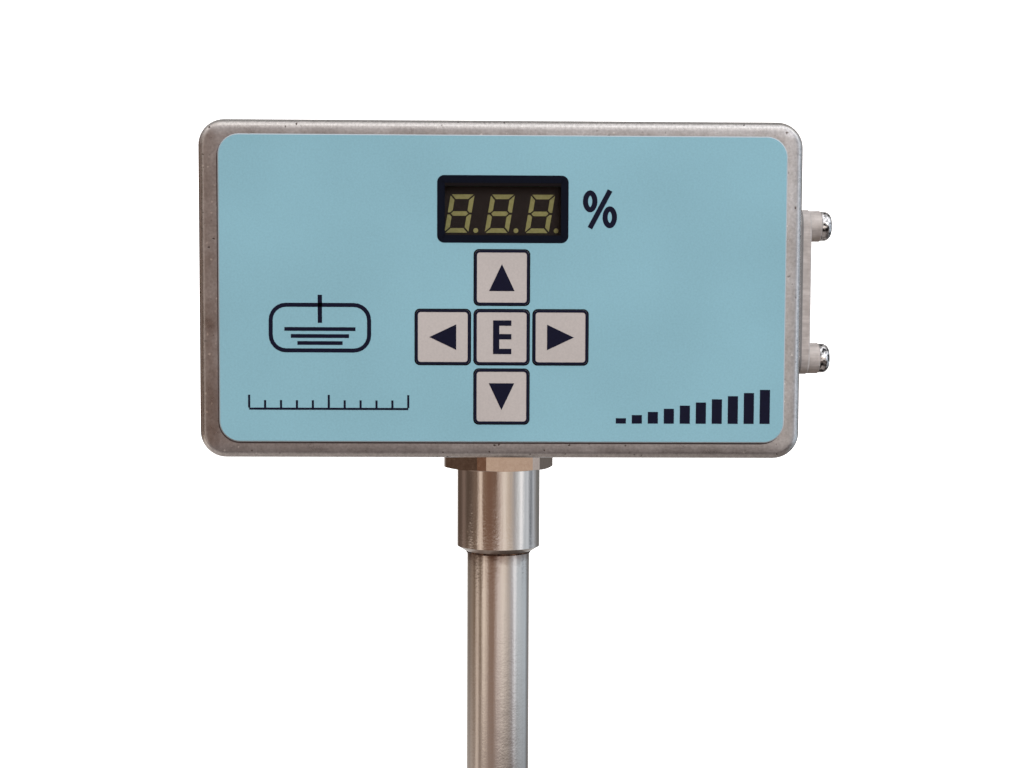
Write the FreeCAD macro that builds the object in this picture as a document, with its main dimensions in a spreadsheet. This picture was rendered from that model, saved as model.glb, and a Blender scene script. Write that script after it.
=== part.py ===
import FreeCAD, Part
import math
import os

import Sketcher

# Level gauge: a die-cast box with a film keypad and a three-digit display on a steel tube probe.
# Millimetres, +X to the viewer's right, +Y to the back, +Z up.
# The origin lies on the probe's axis, where the stem ends and the bare tube begins.

# Driving dimensions: name, value, meaning
SIZES = [
    # Die-cast box
    ("box_width", 112.5, "front face, across"),
    ("box_height", 62.8, "front face, upright"),
    ("casting_depth", 50.0, "front face to rim"),
    ("front_setback", 27.5, "front face to probe axis"),
    ("draft_angle", 1.43, "outward slope of the side walls, degrees"),
    ("corner_radius", 4.8, "upright corners at the front face"),
    ("face_fillet", 1.2, "round between front face and walls"),
    ("wall", 2.5, "side walls"),
    ("front_wall", 2.5, "front wall"),
    ("pillar_inset", 6.0, "rim edge to pillar centre"),
    ("pillar_radius", 4.2, "lid screw pillars"),
    # Rear lid
    ("lid_thickness", 4.5, "lid plate"),
    ("lid_fillet", 1.5, "round on the lid's back edge"),
    ("lid_gasket_thickness", 0.5, "squeezed lid gasket"),
    ("lid_gasket_inset", 0.3, "lid gasket inside the rim's outer edge"),
    ("lid_rib_height", 2.0, "locating ribs inside the rim"),
    ("lid_rib_width", 1.6, "locating ribs, thickness"),
    ("lid_rib_clearance", 0.3, "ribs to the housing wall"),
    ("lid_rib_margin", 16.0, "rib ends to the corners of the cavity"),
    ("lid_screw_radius", 1.9, "lid screw shank"),
    ("lid_screw_head", 3.7, "lid screw head, radius"),
    ("lid_screw_reach", 14.0, "lid screw below the lid"),
    ("screw_clearance", 0.1, "screw shank to its hole, on the radius"),
    ("hole_spare", 0.5, "blind screw holes beyond the screw's end"),
    ("recess_arm", 0.55, "cross recess, arm as a part of the head's radius"),
    ("recess_width", 0.25, "cross recess, arm width as a part of the head's radius"),
    ("recess_depth", 0.7, "cross recess, depth as a part of the head's height"),
    # Film keypad
    ("label_width", 105.6, "keypad, across"),
    ("label_height", 57.0, "keypad, upright"),
    ("label_radius", 3.9, "keypad corners"),
    ("label_rise", 0.1, "keypad centre above the box centre"),
    ("label_right", 0.33, "keypad centre, right of the box centre"),
    ("circuit_thickness", 0.25, "keypad back layer"),
    ("spacer_thickness", 0.4, "keypad middle layer"),
    ("overlay_thickness", 0.5, "keypad front layer"),
    ("overlay_bevel", 0.2, "bevel on the front layer's outer edge"),
    ("layer_inset", 0.4, "hidden keypad layers inside the front layer's edge"),
    ("key_size", 10.3, "square keys"),
    ("key_radius", 1.0, "key corners"),
    ("key_gap", 0.12, "key to overlay, each side"),
    ("key_proud", 0.15, "key face in front of the overlay"),
    ("key_bevel", 0.12, "bevel on the key's front edge"),
    ("key_pitch_across", 10.96, "key centres, sideways"),
    ("key_pitch_upright", 11.07, "key centres, up and down"),
    ("keys_right", 0.11, "key cross, right of the box centre"),
    ("keys_height", 22.65, "middle key above the box bottom"),
    ("dome_radius", 3.6, "snap dome, rim"),
    ("dome_top", 1.5, "snap dome, flat top"),
    ("dome_sheet", 0.08, "snap dome sheet"),
    ("dome_clearance", 0.03, "snap dome under its key"),
    ("tail_width", 8.0, "keypad tail"),
    ("tail_length", 4.6, "keypad tail behind the front face"),
    ("tail_left", 28.0, "keypad tail, left of the box centre"),
    ("tail_height", 20.0, "keypad tail above the box bottom"),
    ("tail_slot_clearance", 0.6, "housing slot round the tail"),
    # Display
    ("window_width", 22.1, "clear window, across"),
    ("window_height", 10.2, "clear window, upright"),
    ("window_radius", 0.8, "window corners"),
    ("window_right", 0.25, "window, right of the box centre"),
    ("window_rise", 46.36, "window centre above the box bottom"),
    ("pane_clearance", 0.05, "pane to overlay, each side"),
    ("pane_thickness", 0.4, "clear pane"),
    ("window_step", 0.3, "layers behind the pane, inside its edge"),
    ("led_width", 22.5, "display block, across"),
    ("led_height", 10.0, "display block, upright"),
    ("led_depth", 6.1, "display block, front to back"),
    ("led_drop", 0.74, "display block below the window centre"),
    ("led_recess", 0.6, "display face behind the front wall's face"),
    ("led_clearance", 0.3, "housing opening round the display"),
    ("digit_height", 7.1, "digit, upright"),
    ("digit_width", 4.45, "digit, across, before its slant"),
    ("digit_pitch", 7.5, "digit centres"),
    ("digit_slant", 9.5, "lean of the digits, degrees"),
    ("digits_left", 0.55, "digit row, left of the display centre"),
    ("segment_stroke", 0.85, "bar thickness of a segment"),
    ("segment_gap", 0.28, "gap between the mitred ends of two bars"),
    ("segment_depth", 0.4, "segments behind the display face"),
    ("dot_radius", 0.45, "decimal dots"),
    ("dot_reach", 3.55, "decimal dot, right of the digit centre"),
    ("pin_side", 0.5, "display pins, square"),
    ("pin_pitch", 2.54, "pin centres in a row"),
    ("pin_row_spacing", 7.62, "the two rows of display pins"),
    ("pin_stub", 1.2, "pins behind the board"),
    # Circuit board
    ("board_width", 84.0, "board, across"),
    ("board_height", 46.0, "board, upright"),
    ("board_thickness", 1.6, "board"),
    ("board_radius", 2.0, "board corners"),
    ("board_left", 3.0, "board, left of the box centre"),
    ("board_hole_inset", 3.6, "board edge to screw hole"),
    ("boss_radius", 3.0, "cast bosses under the board"),
    ("board_screw_radius", 1.2, "board screw shank"),
    ("board_screw_head", 2.3, "board screw head, radius"),
    ("board_screw_head_height", 1.5, "board screw head"),
    ("board_screw_reach", 3.4, "board screw in its boss"),
    ("connector_width", 11.0, "tail connector, across"),
    ("connector_height", 4.0, "tail connector, upright"),
    ("connector_depth", 3.0, "tail connector, front to back"),
    ("connector_mouth", 0.15, "connector slot round the tail"),
    ("connector_slot", 2.1, "connector slot, front to back"),
    ("chip_side", 10.0, "processor"),
    ("chip_thickness", 1.4, "processor"),
    ("chip_radius", 0.5, "processor corners"),
    ("chip_bevel", 0.28, "bevel on the processor's back edge"),
    ("chip_right", 22.0, "processor, right of the box centre"),
    ("chip_rise", 8.0, "processor above the box centre"),
    ("shield_width", 20.0, "screen over the measuring circuit"),
    ("shield_height", 14.0, "screen, upright"),
    ("shield_depth", 3.2, "screen, front to back"),
    ("shield_sheet", 0.3, "screen, sheet"),
    ("shield_radius", 1.2, "screen corners"),
    ("shield_right", 20.0, "screen, right of the box centre"),
    ("shield_drop", 8.0, "screen below the box centre"),
    ("capacitor_radius", 3.15, "power capacitor"),
    ("capacitor_length", 7.7, "power capacitor"),
    ("capacitor_left", 16.0, "power capacitor, left of the box centre"),
    ("capacitor_drop", 10.0, "power capacitor below the box centre"),
    ("terminal_width", 6.0, "wire terminal, one pole"),
    ("terminal_height", 7.0, "wire terminal, upright"),
    ("terminal_depth", 8.0, "wire terminal, front to back"),
    ("sense_terminal_drop", 7.0, "probe terminal below the box centre"),
    ("battery_terminal_left", 37.0, "battery terminal, left of the box centre"),
    ("battery_terminal_pitch", 5.0, "battery terminal poles"),
    ("header_length", 13.2, "service header, upright"),
    ("header_width", 5.0, "service header, across"),
    ("header_depth", 5.0, "service header, front to back"),
    ("header_pin_side", 0.64, "service header pins, square"),
    ("header_pin_length", 6.0, "service header pins outside the block"),
    # Side port
    ("port_setback", 10.5, "port centre behind the front face"),
    ("port_rise", 31.35, "port centre above the box bottom"),
    ("port_length", 31.3, "cover, upright"),
    ("port_width", 13.0, "cover, front to back"),
    ("port_radius", 3.2, "cover corners"),
    ("port_thickness", 1.6, "cover plate"),
    ("port_edge_bevel", 0.3, "bevel on the cover's outer edge"),
    ("port_gasket_thickness", 0.4, "port gasket"),
    ("port_land", 0.6, "milled land outside the front face's edge"),
    ("port_land_depth", 1.75, "cast land, run into the wall"),
    ("port_screw_spacing", 25.4, "cover screws"),
    ("port_boss_radius", 2.95, "raised bosses on the cover"),
    ("port_boss_height", 2.8, "raised bosses on the cover"),
    ("port_boss_bevel", 0.25, "bevel on the bosses' outer edges"),
    ("port_opening_length", 18.0, "opening in the wall, upright"),
    ("port_opening_width", 8.0, "opening in the wall, front to back"),
    ("port_screw_radius", 1.7, "cover screw shank"),
    ("port_screw_head", 2.8, "cover screw head, radius"),
    ("port_screw_head_height", 2.0, "cover screw head"),
    ("port_screw_round", 1.4, "round on the cover screw head"),
    ("port_screw_reach", 5.0, "cover screw behind the cover"),
    # Stem, nuts and seal
    ("stem_radius", 8.4, "stem below the nut"),
    ("stem_length", 17.16, "stem end to nut"),
    ("stem_bevel", 1.2, "bevel at the stem's end"),
    ("weld_land", 0.1, "stem face left round the tube"),
    ("thread_radius", 8.0, "threaded part of the stem"),
    ("thread_bevel", 0.8, "bevel on the thread's end"),
    ("thread_spare", 3.0, "thread above the inner nut"),
    ("nut_flats", 20.2, "nut across flats"),
    ("nut_height", 3.3, "both nuts"),
    ("nut_bevel", 0.35, "bevel of the nut corners"),
    ("nut_corner_cut", 1.1, "nut corners cut flat, along each side"),
    ("nut_turn", -48.4, "one nut corner, degrees from +X"),
    ("thread_clearance", 0.1, "thread to nuts and hole, on the radius"),
    ("seal_radius", 11.5, "seal washer"),
    ("seal_thickness", 0.6, "seal washer"),
    ("seat_radius", 12.6, "milled seat under the box"),
    ("seat_depth", 0.4, "seat above the front face's lower edge"),
    ("seat_wall", 3.2, "wall between the nuts"),
    # Probe
    ("tube_radius", 6.35, "probe tube, outside"),
    ("tube_wall", 1.0, "probe tube"),
    ("tube_length", 198.0, "bare probe tube"),
    ("spigot_length", 10.0, "turned end of the tube inside the stem"),
    ("spigot_step", 0.35, "turned end inside the tube's outside"),
    ("vent_radius", 1.5, "vent hole near the top of the tube"),
    ("vent_drop", 12.0, "vent hole below the stem"),
    ("fit_clearance", 0.05, "fixed fits, on the radius"),
    ("electrode_radius", 3.0, "inner electrode"),
    ("electrode_thread", 7.0, "pin inside the electrode"),
    ("spacer_height", 5.0, "electrode spacers"),
    ("spacer_pitch", 50.0, "electrode spacers, apart"),
    ("spacer_flat", 1.2, "depth of the flow flats on a spacer"),
    ("guide_hole_radius", 0.9, "flow holes of the end guide"),
    ("guide_flange", 2.0, "end guide below the tube"),
    ("guide_step", 0.25, "end guide flange inside the tube's outside"),
    ("guide_plug", 6.0, "end guide inside the tube"),
    ("insulator_radius", 6.0, "feedthrough plug"),
    ("insulator_depth", 8.0, "feedthrough plug inside the stem"),
    ("insulator_flange", 2.0, "feedthrough flange"),
    ("insulator_flange_radius", 7.4, "feedthrough flange"),
    ("feed_pin_radius", 1.5, "feedthrough pin"),
    ("feed_pin_collar", 3.0, "feedthrough pin collar, radius"),
    ("feed_pin_collar_height", 1.0, "feedthrough pin collar"),
    ("feed_pin_stub", 3.0, "feedthrough pin above its collar"),
    # Batteries and leads
    ("cell_radius", 7.1, "battery cell"),
    ("cell_length", 49.5, "battery cell without its nub"),
    ("nub_radius", 2.75, "battery nub"),
    ("nub_length", 1.0, "battery nub"),
    ("cell_clearance", 0.3, "cell to holder"),
    ("holder_wall", 1.4, "battery holder"),
    ("holder_lip", 10.0, "holder sides above its floor"),
    ("holder_rise", 6.5, "holder centre above the box centre"),
    ("holder_screw_spacing", 34.0, "holder screws"),
    ("holder_screw_radius", 1.2, "holder screw shank"),
    ("holder_screw_head", 2.2, "holder screw head, radius"),
    ("holder_screw_head_height", 0.9, "holder screw head"),
    ("holder_screw_reach", 2.8, "holder screw in the lid"),
    ("contact_side", 9.0, "battery contact plate"),
    ("contact_sheet", 0.5, "battery contact plate"),
    ("contact_room", 1.9, "contact plate to cell"),
    ("contact_bump_radius", 2.0, "pressed bump of a contact"),
    ("lead_thickness", 1.4, "flat leads"),
    ("battery_lead_width", 4.2, "twin battery lead"),
    ("sense_lead_width", 2.4, "probe lead"),
    ("lead_bend", 4.5, "bends of the leads, at their middle"),
]


class Size:
    """A length: its value, and the expression that ties it to the sheet."""

    def __init__(self, value, text):
        self.value = value
        self.text = text

    def __add__(self, other):
        other = as_size(other)
        return Size(self.value + other.value, f"({self.text} + {other.text})")

    __radd__ = __add__

    def __sub__(self, other):
        other = as_size(other)
        return Size(self.value - other.value, f"({self.text} - {other.text})")

    def __rsub__(self, other):
        return as_size(other) - self

    def __mul__(self, factor):
        factor = as_size(factor)
        return Size(self.value * factor.value, f"({self.text} * {factor.text})")

    __rmul__ = __mul__

    def __truediv__(self, divisor):
        divisor = as_size(divisor)
        return Size(self.value / divisor.value, f"({self.text} / {divisor.text})")

    def __neg__(self):
        return Size(-self.value, f"(0 - {self.text})")


def as_size(number):
    """Let plain numbers join in the sums."""
    if isinstance(number, Size):
        return number
    return Size(float(number), f"({float(number)!r})")


class Sizes:
    """The sheet's values by name."""


doc = FreeCAD.newDocument("level_gauge")
sheet = doc.addObject("Spreadsheet::Sheet", "sizes")
d = Sizes()
for row, (name, number, meaning) in enumerate(SIZES, start=1):
    sheet.set(f"A{row}", meaning)
    sheet.set(f"B{row}", str(number))
    sheet.setAlias(f"B{row}", name)
    setattr(d, name, Size(number, f"sizes.{name}"))
doc.recompute()

nodes = []
FOUR_CORNERS = ((1, 1), (-1, 1), (-1, -1), (1, -1))


# Helpers


def spot(x, y, z):
    return FreeCAD.Vector(*[as_size(size).value for size in (x, y, z)])


def bind(obj, sizes):
    """Tie properties of an object to sizes."""
    for path, size in sizes.items():
        obj.setExpression(path, as_size(size).text)


def put(obj, x=0, y=0, z=0):
    """Tie an object's place to sizes."""
    bind(obj, {"Placement.Base.x": x, "Placement.Base.y": y, "Placement.Base.z": z})


def node(obj, label):
    """Name a finished sub-part; the label also names its file."""
    obj.Label = label
    nodes.append(obj)
    return obj


def new_body(label, x=0, y=0, z=0):
    body = doc.addObject("PartDesign::Body", label)
    put(body, x, y, z)
    return node(body, label)


def master_body(name):
    """A piece that is only copied, in its own frame."""
    return doc.addObject("PartDesign::Body", name)


def sketch_on(body, plane, u=0, v=0, lift=0):
    """Start a sketch on one of the body's planes, moved in the plane and along its normal."""
    sketch = body.newObject("Sketcher::SketchObject", f"{body.Name}_sketch")
    support = next(feature for feature in body.Origin.OriginFeatures if feature.Role == plane)
    sketch.AttachmentSupport = (support, [""])
    sketch.MapMode = "FlatFace"
    offset = "AttachmentOffset.Base"
    bind(sketch, {f"{offset}.x": u, f"{offset}.y": v, f"{offset}.z": lift})
    return sketch


def constrain(sketch, kind, *where, size=None):
    """Add a constraint; with a size, its value follows the sheet."""
    if size is None:
        sketch.addConstraint(Sketcher.Constraint(kind, *where))
        return
    index = sketch.addConstraint(Sketcher.Constraint(kind, *where, size.value))
    sketch.setExpression(f"Constraints[{index}]", size.text)


def fix_point(sketch, shape, point, u, v):
    """Place a point of a drawn shape from the sketch's origin."""
    for kind, axis, size in (("DistanceX", -2, as_size(u)), ("DistanceY", -1, as_size(v))):
        if size.value == 0:
            constrain(sketch, "PointOnObject", shape, point, axis)
        else:
            constrain(sketch, kind, -1, 1, shape, point, size=size)


def outline(sketch, points):
    """Draw a closed polygon with every corner tied to sizes."""
    ends = [spot(u, v, 0) for u, v in points]
    first = sketch.GeometryCount
    for start, end in zip(ends, ends[1:] + ends[:1]):
        sketch.addGeometry(Part.LineSegment(start, end), False)
    for index, (u, v) in enumerate(points):
        before = first + (index - 1) % len(points)
        constrain(sketch, "Coincident", before, 2, first + index, 1)
        fix_point(sketch, first + index, 1, u, v)
    return sketch


def rectangle(sketch, width, height, u=0, v=0):
    corners = [(u + side_u * width / 2, v + side_v * height / 2) for side_u, side_v in FOUR_CORNERS]
    return outline(sketch, corners)


def circle(sketch, radius, u=0, v=0):
    ring = Part.Circle(spot(u, v, 0), FreeCAD.Vector(0, 0, 1), radius.value)
    index = sketch.addGeometry(ring, False)
    constrain(sketch, "Radius", index, size=radius)
    fix_point(sketch, index, 3, u, v)
    return sketch


def rounded_box(sketch, width, height, radius):
    """Draw a rectangle with round corners about the sketch's origin."""
    first = sketch.GeometryCount
    reach_u = width.value / 2 - radius.value
    reach_v = height.value / 2 - radius.value
    arcs = []
    for turn, (side_u, side_v) in enumerate(FOUR_CORNERS):
        centre = FreeCAD.Vector(side_u * reach_u, side_v * reach_v, 0)
        round_corner = Part.Circle(centre, FreeCAD.Vector(0, 0, 1), radius.value)
        start = turn * math.pi / 2
        arcs.append(Part.ArcOfCircle(round_corner, start, start + math.pi / 2))
    for arc in arcs:
        sketch.addGeometry(arc, False)
    for arc, following in zip(arcs, arcs[1:] + arcs[:1]):
        sketch.addGeometry(Part.LineSegment(arc.EndPoint, following.StartPoint), False)
    for side in range(4):
        line = first + 4 + side
        constrain(sketch, "Tangent", first + side, 2, line, 1)
        constrain(sketch, "Tangent", line, 2, first + (side + 1) % 4, 1)
        constrain(sketch, "Vertical" if side % 2 else "Horizontal", line)
        if side:
            constrain(sketch, "Equal", first, first + side)
    constrain(sketch, "Radius", first, size=radius)
    constrain(sketch, "DistanceX", first + 5, 1, first + 7, 1, size=width)
    constrain(sketch, "DistanceY", first + 6, 1, first + 4, 1, size=height)
    constrain(sketch, "Symmetric", first, 3, first + 2, 3, -1, 1)
    return sketch


def volume_of(body):
    return 0 if body.Shape.isNull() else body.Shape.Volume


def feature(body, kind, sketch, reverse, sizes):
    """Turn a sketch into a solid feature and make sure that it changed the body."""
    before = volume_of(body)
    made = body.newObject(f"PartDesign::{kind}", f"{sketch.Name}_{kind}")
    made.Profile = sketch
    made.Reversed = reverse
    bind(made, sizes)
    doc.recompute()
    change = volume_of(body) - before
    if (change > -1e-6) if kind in ("Pocket", "Groove") else (change < 1e-6):
        raise ValueError(f"{made.Name} changed nothing: {change}")
    return made


def pad(body, sketch, length, reverse=False, taper=0):
    return feature(body, "Pad", sketch, reverse, {"Length": length, "TaperAngle": taper})


def pocket(body, sketch, depth, reverse=False, taper=0):
    return feature(body, "Pocket", sketch, reverse, {"Length": depth, "TaperAngle": taper})


def spin(body, points, kind="Revolution"):
    """Turn a profile, given as radius and height, round the body's upright axis."""
    sketch = outline(sketch_on(body, "XZ_Plane"), points)
    before = volume_of(body)
    made = body.newObject(f"PartDesign::{kind}", f"{sketch.Name}_{kind}")
    made.Profile = sketch
    made.ReferenceAxis = (sketch, ["V_Axis"])
    made.Angle = 360
    doc.recompute()
    if volume_of(body) == before:
        raise ValueError(f"{made.Name} changed nothing")
    return made


def dress(body, kind, size, wanted):
    """Round or bevel the edges of the body's last feature that the test picks."""
    base = body.Tip
    names = [f"Edge{index}" for index, edge in enumerate(base.Shape.Edges, start=1) if wanted(edge)]
    made = body.newObject(f"PartDesign::{kind}", f"{base.Name}_{kind}")
    made.Base = (base, names)
    bind(made, {"Radius" if kind == "Fillet" else "Size": size})
    doc.recompute()
    return made


def lies_at(axis, level):
    """Test for edges that lie in a plane across an axis of the body."""
    low, high = f"{axis.upper()}Min", f"{axis.upper()}Max"

    def test(edge):
        box = edge.BoundBox
        return abs(getattr(box, low) - level) < 1e-4 and abs(getattr(box, high) - level) < 1e-4

    return test


def plate(label, width, height, thickness, radius, x, y, z):
    """A flat piece that faces the front, with round corners; y is its front face."""
    body = new_body(label, x, y, z)
    pad(body, rounded_box(sketch_on(body, "XZ_Plane"), width, height, radius), thickness, reverse=True)
    return body


def cut_box(body, width, height, radius, depth, u=0, v=0):
    """Cut a round-cornered opening from the front face inwards."""
    opening = rounded_box(sketch_on(body, "XZ_Plane", u, v), width, height, radius)
    return pocket(body, opening, depth)


def brick(label, width, depth, height, x, y, z):
    """A block centred on x and z, with its front face at y."""
    block = doc.addObject("Part::Box", label)
    bind(block, {"Length": width, "Width": depth, "Height": height})
    put(block, x - width / 2, y, z - height / 2)
    return block


def rod(name, radius, length, x, y, z, axis=(0, 0, 1)):
    """A cylinder from a point along an axis."""
    cylinder = doc.addObject("Part::Cylinder", name)
    bind(cylinder, {"Radius": radius, "Height": length})
    cylinder.Placement.Rotation = FreeCAD.Rotation(FreeCAD.Vector(0, 0, 1), FreeCAD.Vector(*axis))
    put(cylinder, x, y, z)
    return cylinder


def cut(label, base, tool):
    made = doc.addObject("Part::Cut", label)
    made.Base = base
    made.Tool = tool
    return made


def gather(label, pieces):
    """Keep several separate solids as one node."""
    group = doc.addObject("Part::Compound", label)
    group.Links = pieces
    return node(group, label)


def copies(label, master, places, axis=(0, 0, 1)):
    """A group of equal pieces, each standing along an axis at its place."""
    doc.recompute()
    turn = FreeCAD.Rotation(FreeCAD.Vector(0, 0, 1), FreeCAD.Vector(*axis))
    shapes = []
    for place in places:
        shape = master.Shape.copy()
        shape.Placement = FreeCAD.Placement(spot(*place), turn)
        shapes.append(shape)
    group = doc.addObject("Part::Feature", label)
    group.Shape = Part.makeCompound(shapes)
    return node(group, label)


def cross_recess(body, top, head_radius, head_height):
    """Press a cross into a screw head, down from its top."""
    arm = head_radius * d.recess_arm
    half = head_radius * d.recess_width / 2
    corners = []
    for along_u, along_v in ((1, 0), (0, 1), (-1, 0), (0, -1)):
        for side in (-1, 1):
            corners.append((arm * along_u - half * side * along_v, arm * along_v + half * side * along_u))
        corners.append((half * (along_u - along_v), half * (along_u + along_v)))
    pocket(body, outline(sketch_on(body, "XY_Plane", lift=top), corners), head_height * d.recess_depth)


def slope(angle):
    """Sideways step of a drafted wall for each millimetre of depth."""
    return Size(math.tan(math.radians(angle.value)), f"tan({angle.text} * 1 deg)")


# Levels that several pieces share

FRONT = -d.front_setback
RIM = FRONT + d.casting_depth
LID_FRONT = RIM + d.lid_gasket_thickness
CIRCUIT_FACE = FRONT - d.circuit_thickness
SPACER_FACE = CIRCUIT_FACE - d.spacer_thickness
OVERLAY_FACE = SPACER_FACE - d.overlay_thickness
LED_FACE = FRONT + d.led_recess
BOARD_FACE = LED_FACE + d.led_depth
BOARD_BACK = BOARD_FACE + d.board_thickness

SEAT = d.stem_length + d.nut_height + d.seal_thickness
INNER_SEAT = SEAT + d.seat_wall
STEM_TOP = INNER_SEAT + d.nut_height + d.thread_spare
BOX_BOTTOM = SEAT + d.seat_depth
BOX_MIDDLE = BOX_BOTTOM + d.box_height / 2
LABEL_MIDDLE = BOX_MIDDLE + d.label_rise
WINDOW_MIDDLE = BOX_BOTTOM + d.window_rise
LED_MIDDLE = WINDOW_MIDDLE - d.led_drop
KEYS_MIDDLE = BOX_BOTTOM + d.keys_height
TAIL_MIDDLE = BOX_BOTTOM + d.tail_height
PORT_MIDDLE = BOX_BOTTOM + d.port_rise
PORT_Y = FRONT + d.port_setback
PORT_LAND = d.box_width / 2 + d.port_land
PORT_FACE = PORT_LAND + d.port_gasket_thickness + d.port_thickness
INSULATOR_BOTTOM = STEM_TOP - d.insulator_depth
TUBE_BOTTOM = -d.tube_length
TUBE_BORE = d.tube_radius - d.tube_wall

SPREAD = slope(d.draft_angle) * d.casting_depth
RIM_WIDTH = d.box_width + 2 * SPREAD
RIM_HEIGHT = d.box_height + 2 * SPREAD
RIM_RADIUS = d.corner_radius + SPREAD
PILLAR_X = RIM_WIDTH / 2 - d.pillar_inset
PILLAR_Z = RIM_HEIGHT / 2 - d.pillar_inset
BOARD_HOLE_X = d.board_width / 2 - d.board_hole_inset
BOARD_HOLE_Z = d.board_height / 2 - d.board_hole_inset
CAVITY_WIDTH = RIM_WIDTH - 2 * d.wall
CAVITY_HEIGHT = RIM_HEIGHT - 2 * d.wall
CAVITY_RADIUS = RIM_RADIUS - d.wall
KEYS = {"up": (0, 1), "down": (0, -1), "left": (-1, 0), "right": (1, 0), "enter": (0, 0)}


def key_place(column, line):
    return d.keys_right + column * d.key_pitch_across, KEYS_MIDDLE + line * d.key_pitch_upright


def make_housing():
    """Drafted casting with a round front edge, lid pillars, board bosses, stem seat and port land."""
    body = new_body("housing", 0, FRONT, BOX_MIDDLE)
    face = rounded_box(sketch_on(body, "XZ_Plane"), d.box_width, d.box_height, d.corner_radius)
    pad(body, face, d.casting_depth, reverse=True, taper=d.draft_angle)
    dress(body, "Fillet", d.face_fillet, lies_at("y", 0))
    rim = sketch_on(body, "XZ_Plane", lift=-d.casting_depth)
    rounded_box(rim, CAVITY_WIDTH, CAVITY_HEIGHT, CAVITY_RADIUS)
    pocket(body, rim, d.casting_depth - d.front_wall, reverse=True, taper=-d.draft_angle)

    for side_x, side_z in FOUR_CORNERS:
        pillar = sketch_on(body, "XZ_Plane", lift=-d.front_wall / 2)
        circle(pillar, d.pillar_radius, side_x * PILLAR_X, side_z * PILLAR_Z)
        pad(body, pillar, d.casting_depth - d.front_wall / 2, reverse=True)
        boss = sketch_on(body, "XZ_Plane", -d.board_left, 0, -d.front_wall / 2)
        circle(boss, d.boss_radius, side_x * BOARD_HOLE_X, side_z * BOARD_HOLE_Z)
        pad(body, boss, BOARD_FACE - FRONT - d.front_wall / 2, reverse=True)

    stem_y = d.front_setback
    inner_pad = sketch_on(body, "XY_Plane", 0, stem_y, INNER_SEAT - BOX_MIDDLE)
    pad(body, circle(inner_pad, d.seat_radius), d.seat_wall / 2, reverse=True)
    outer_seat = sketch_on(body, "XY_Plane", 0, stem_y, SEAT - BOX_MIDDLE)
    pocket(body, circle(outer_seat, d.seat_radius), d.seat_wall)
    stem_hole = sketch_on(body, "XY_Plane", 0, stem_y, INNER_SEAT - BOX_MIDDLE)
    pocket(body, circle(stem_hole, d.thread_radius + d.thread_clearance), 2 * d.seat_wall)

    port_z = PORT_MIDDLE - BOX_MIDDLE
    land = sketch_on(body, "YZ_Plane", d.port_setback, port_z, PORT_LAND)
    pad(body, rounded_box(land, d.port_width, d.port_length, d.port_radius), d.port_land_depth, reverse=True)
    opening = sketch_on(body, "YZ_Plane", d.port_setback, port_z, PORT_LAND)
    rounded_box(opening, d.port_opening_width, d.port_opening_length, d.port_radius)
    pocket(body, opening, 3 * d.wall)
    for side in (1, -1):
        hole = sketch_on(body, "YZ_Plane", d.port_setback, port_z, PORT_LAND)
        circle(hole, d.port_screw_radius + d.screw_clearance, 0, side * d.port_screw_spacing / 2)
        pocket(body, hole, 3 * d.wall)

    led_room = 2 * d.led_clearance
    cut_box(body, d.led_width + led_room, d.led_height + led_room, d.window_radius, 2 * d.front_wall,
            d.window_right, LED_MIDDLE - BOX_MIDDLE)
    slot_room = 2 * d.tail_slot_clearance
    cut_box(body, d.tail_width + slot_room, d.circuit_thickness + slot_room, d.tail_slot_clearance,
            2 * d.front_wall, -d.tail_left, TAIL_MIDDLE - BOX_MIDDLE)
    for side_x, side_z in FOUR_CORNERS:
        lid_hole = sketch_on(body, "XZ_Plane", lift=-d.casting_depth)
        circle(lid_hole, d.lid_screw_radius + d.screw_clearance, side_x * PILLAR_X, side_z * PILLAR_Z)
        pocket(body, lid_hole, d.lid_screw_reach + d.hole_spare, reverse=True)
        board_hole = sketch_on(body, "XZ_Plane", -d.board_left, 0, FRONT - BOARD_FACE)
        hole_radius = d.board_screw_radius + d.screw_clearance
        circle(board_hole, hole_radius, side_x * BOARD_HOLE_X, side_z * BOARD_HOLE_Z)
        pocket(body, board_hole, d.board_screw_reach + d.hole_spare, reverse=True)


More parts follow.
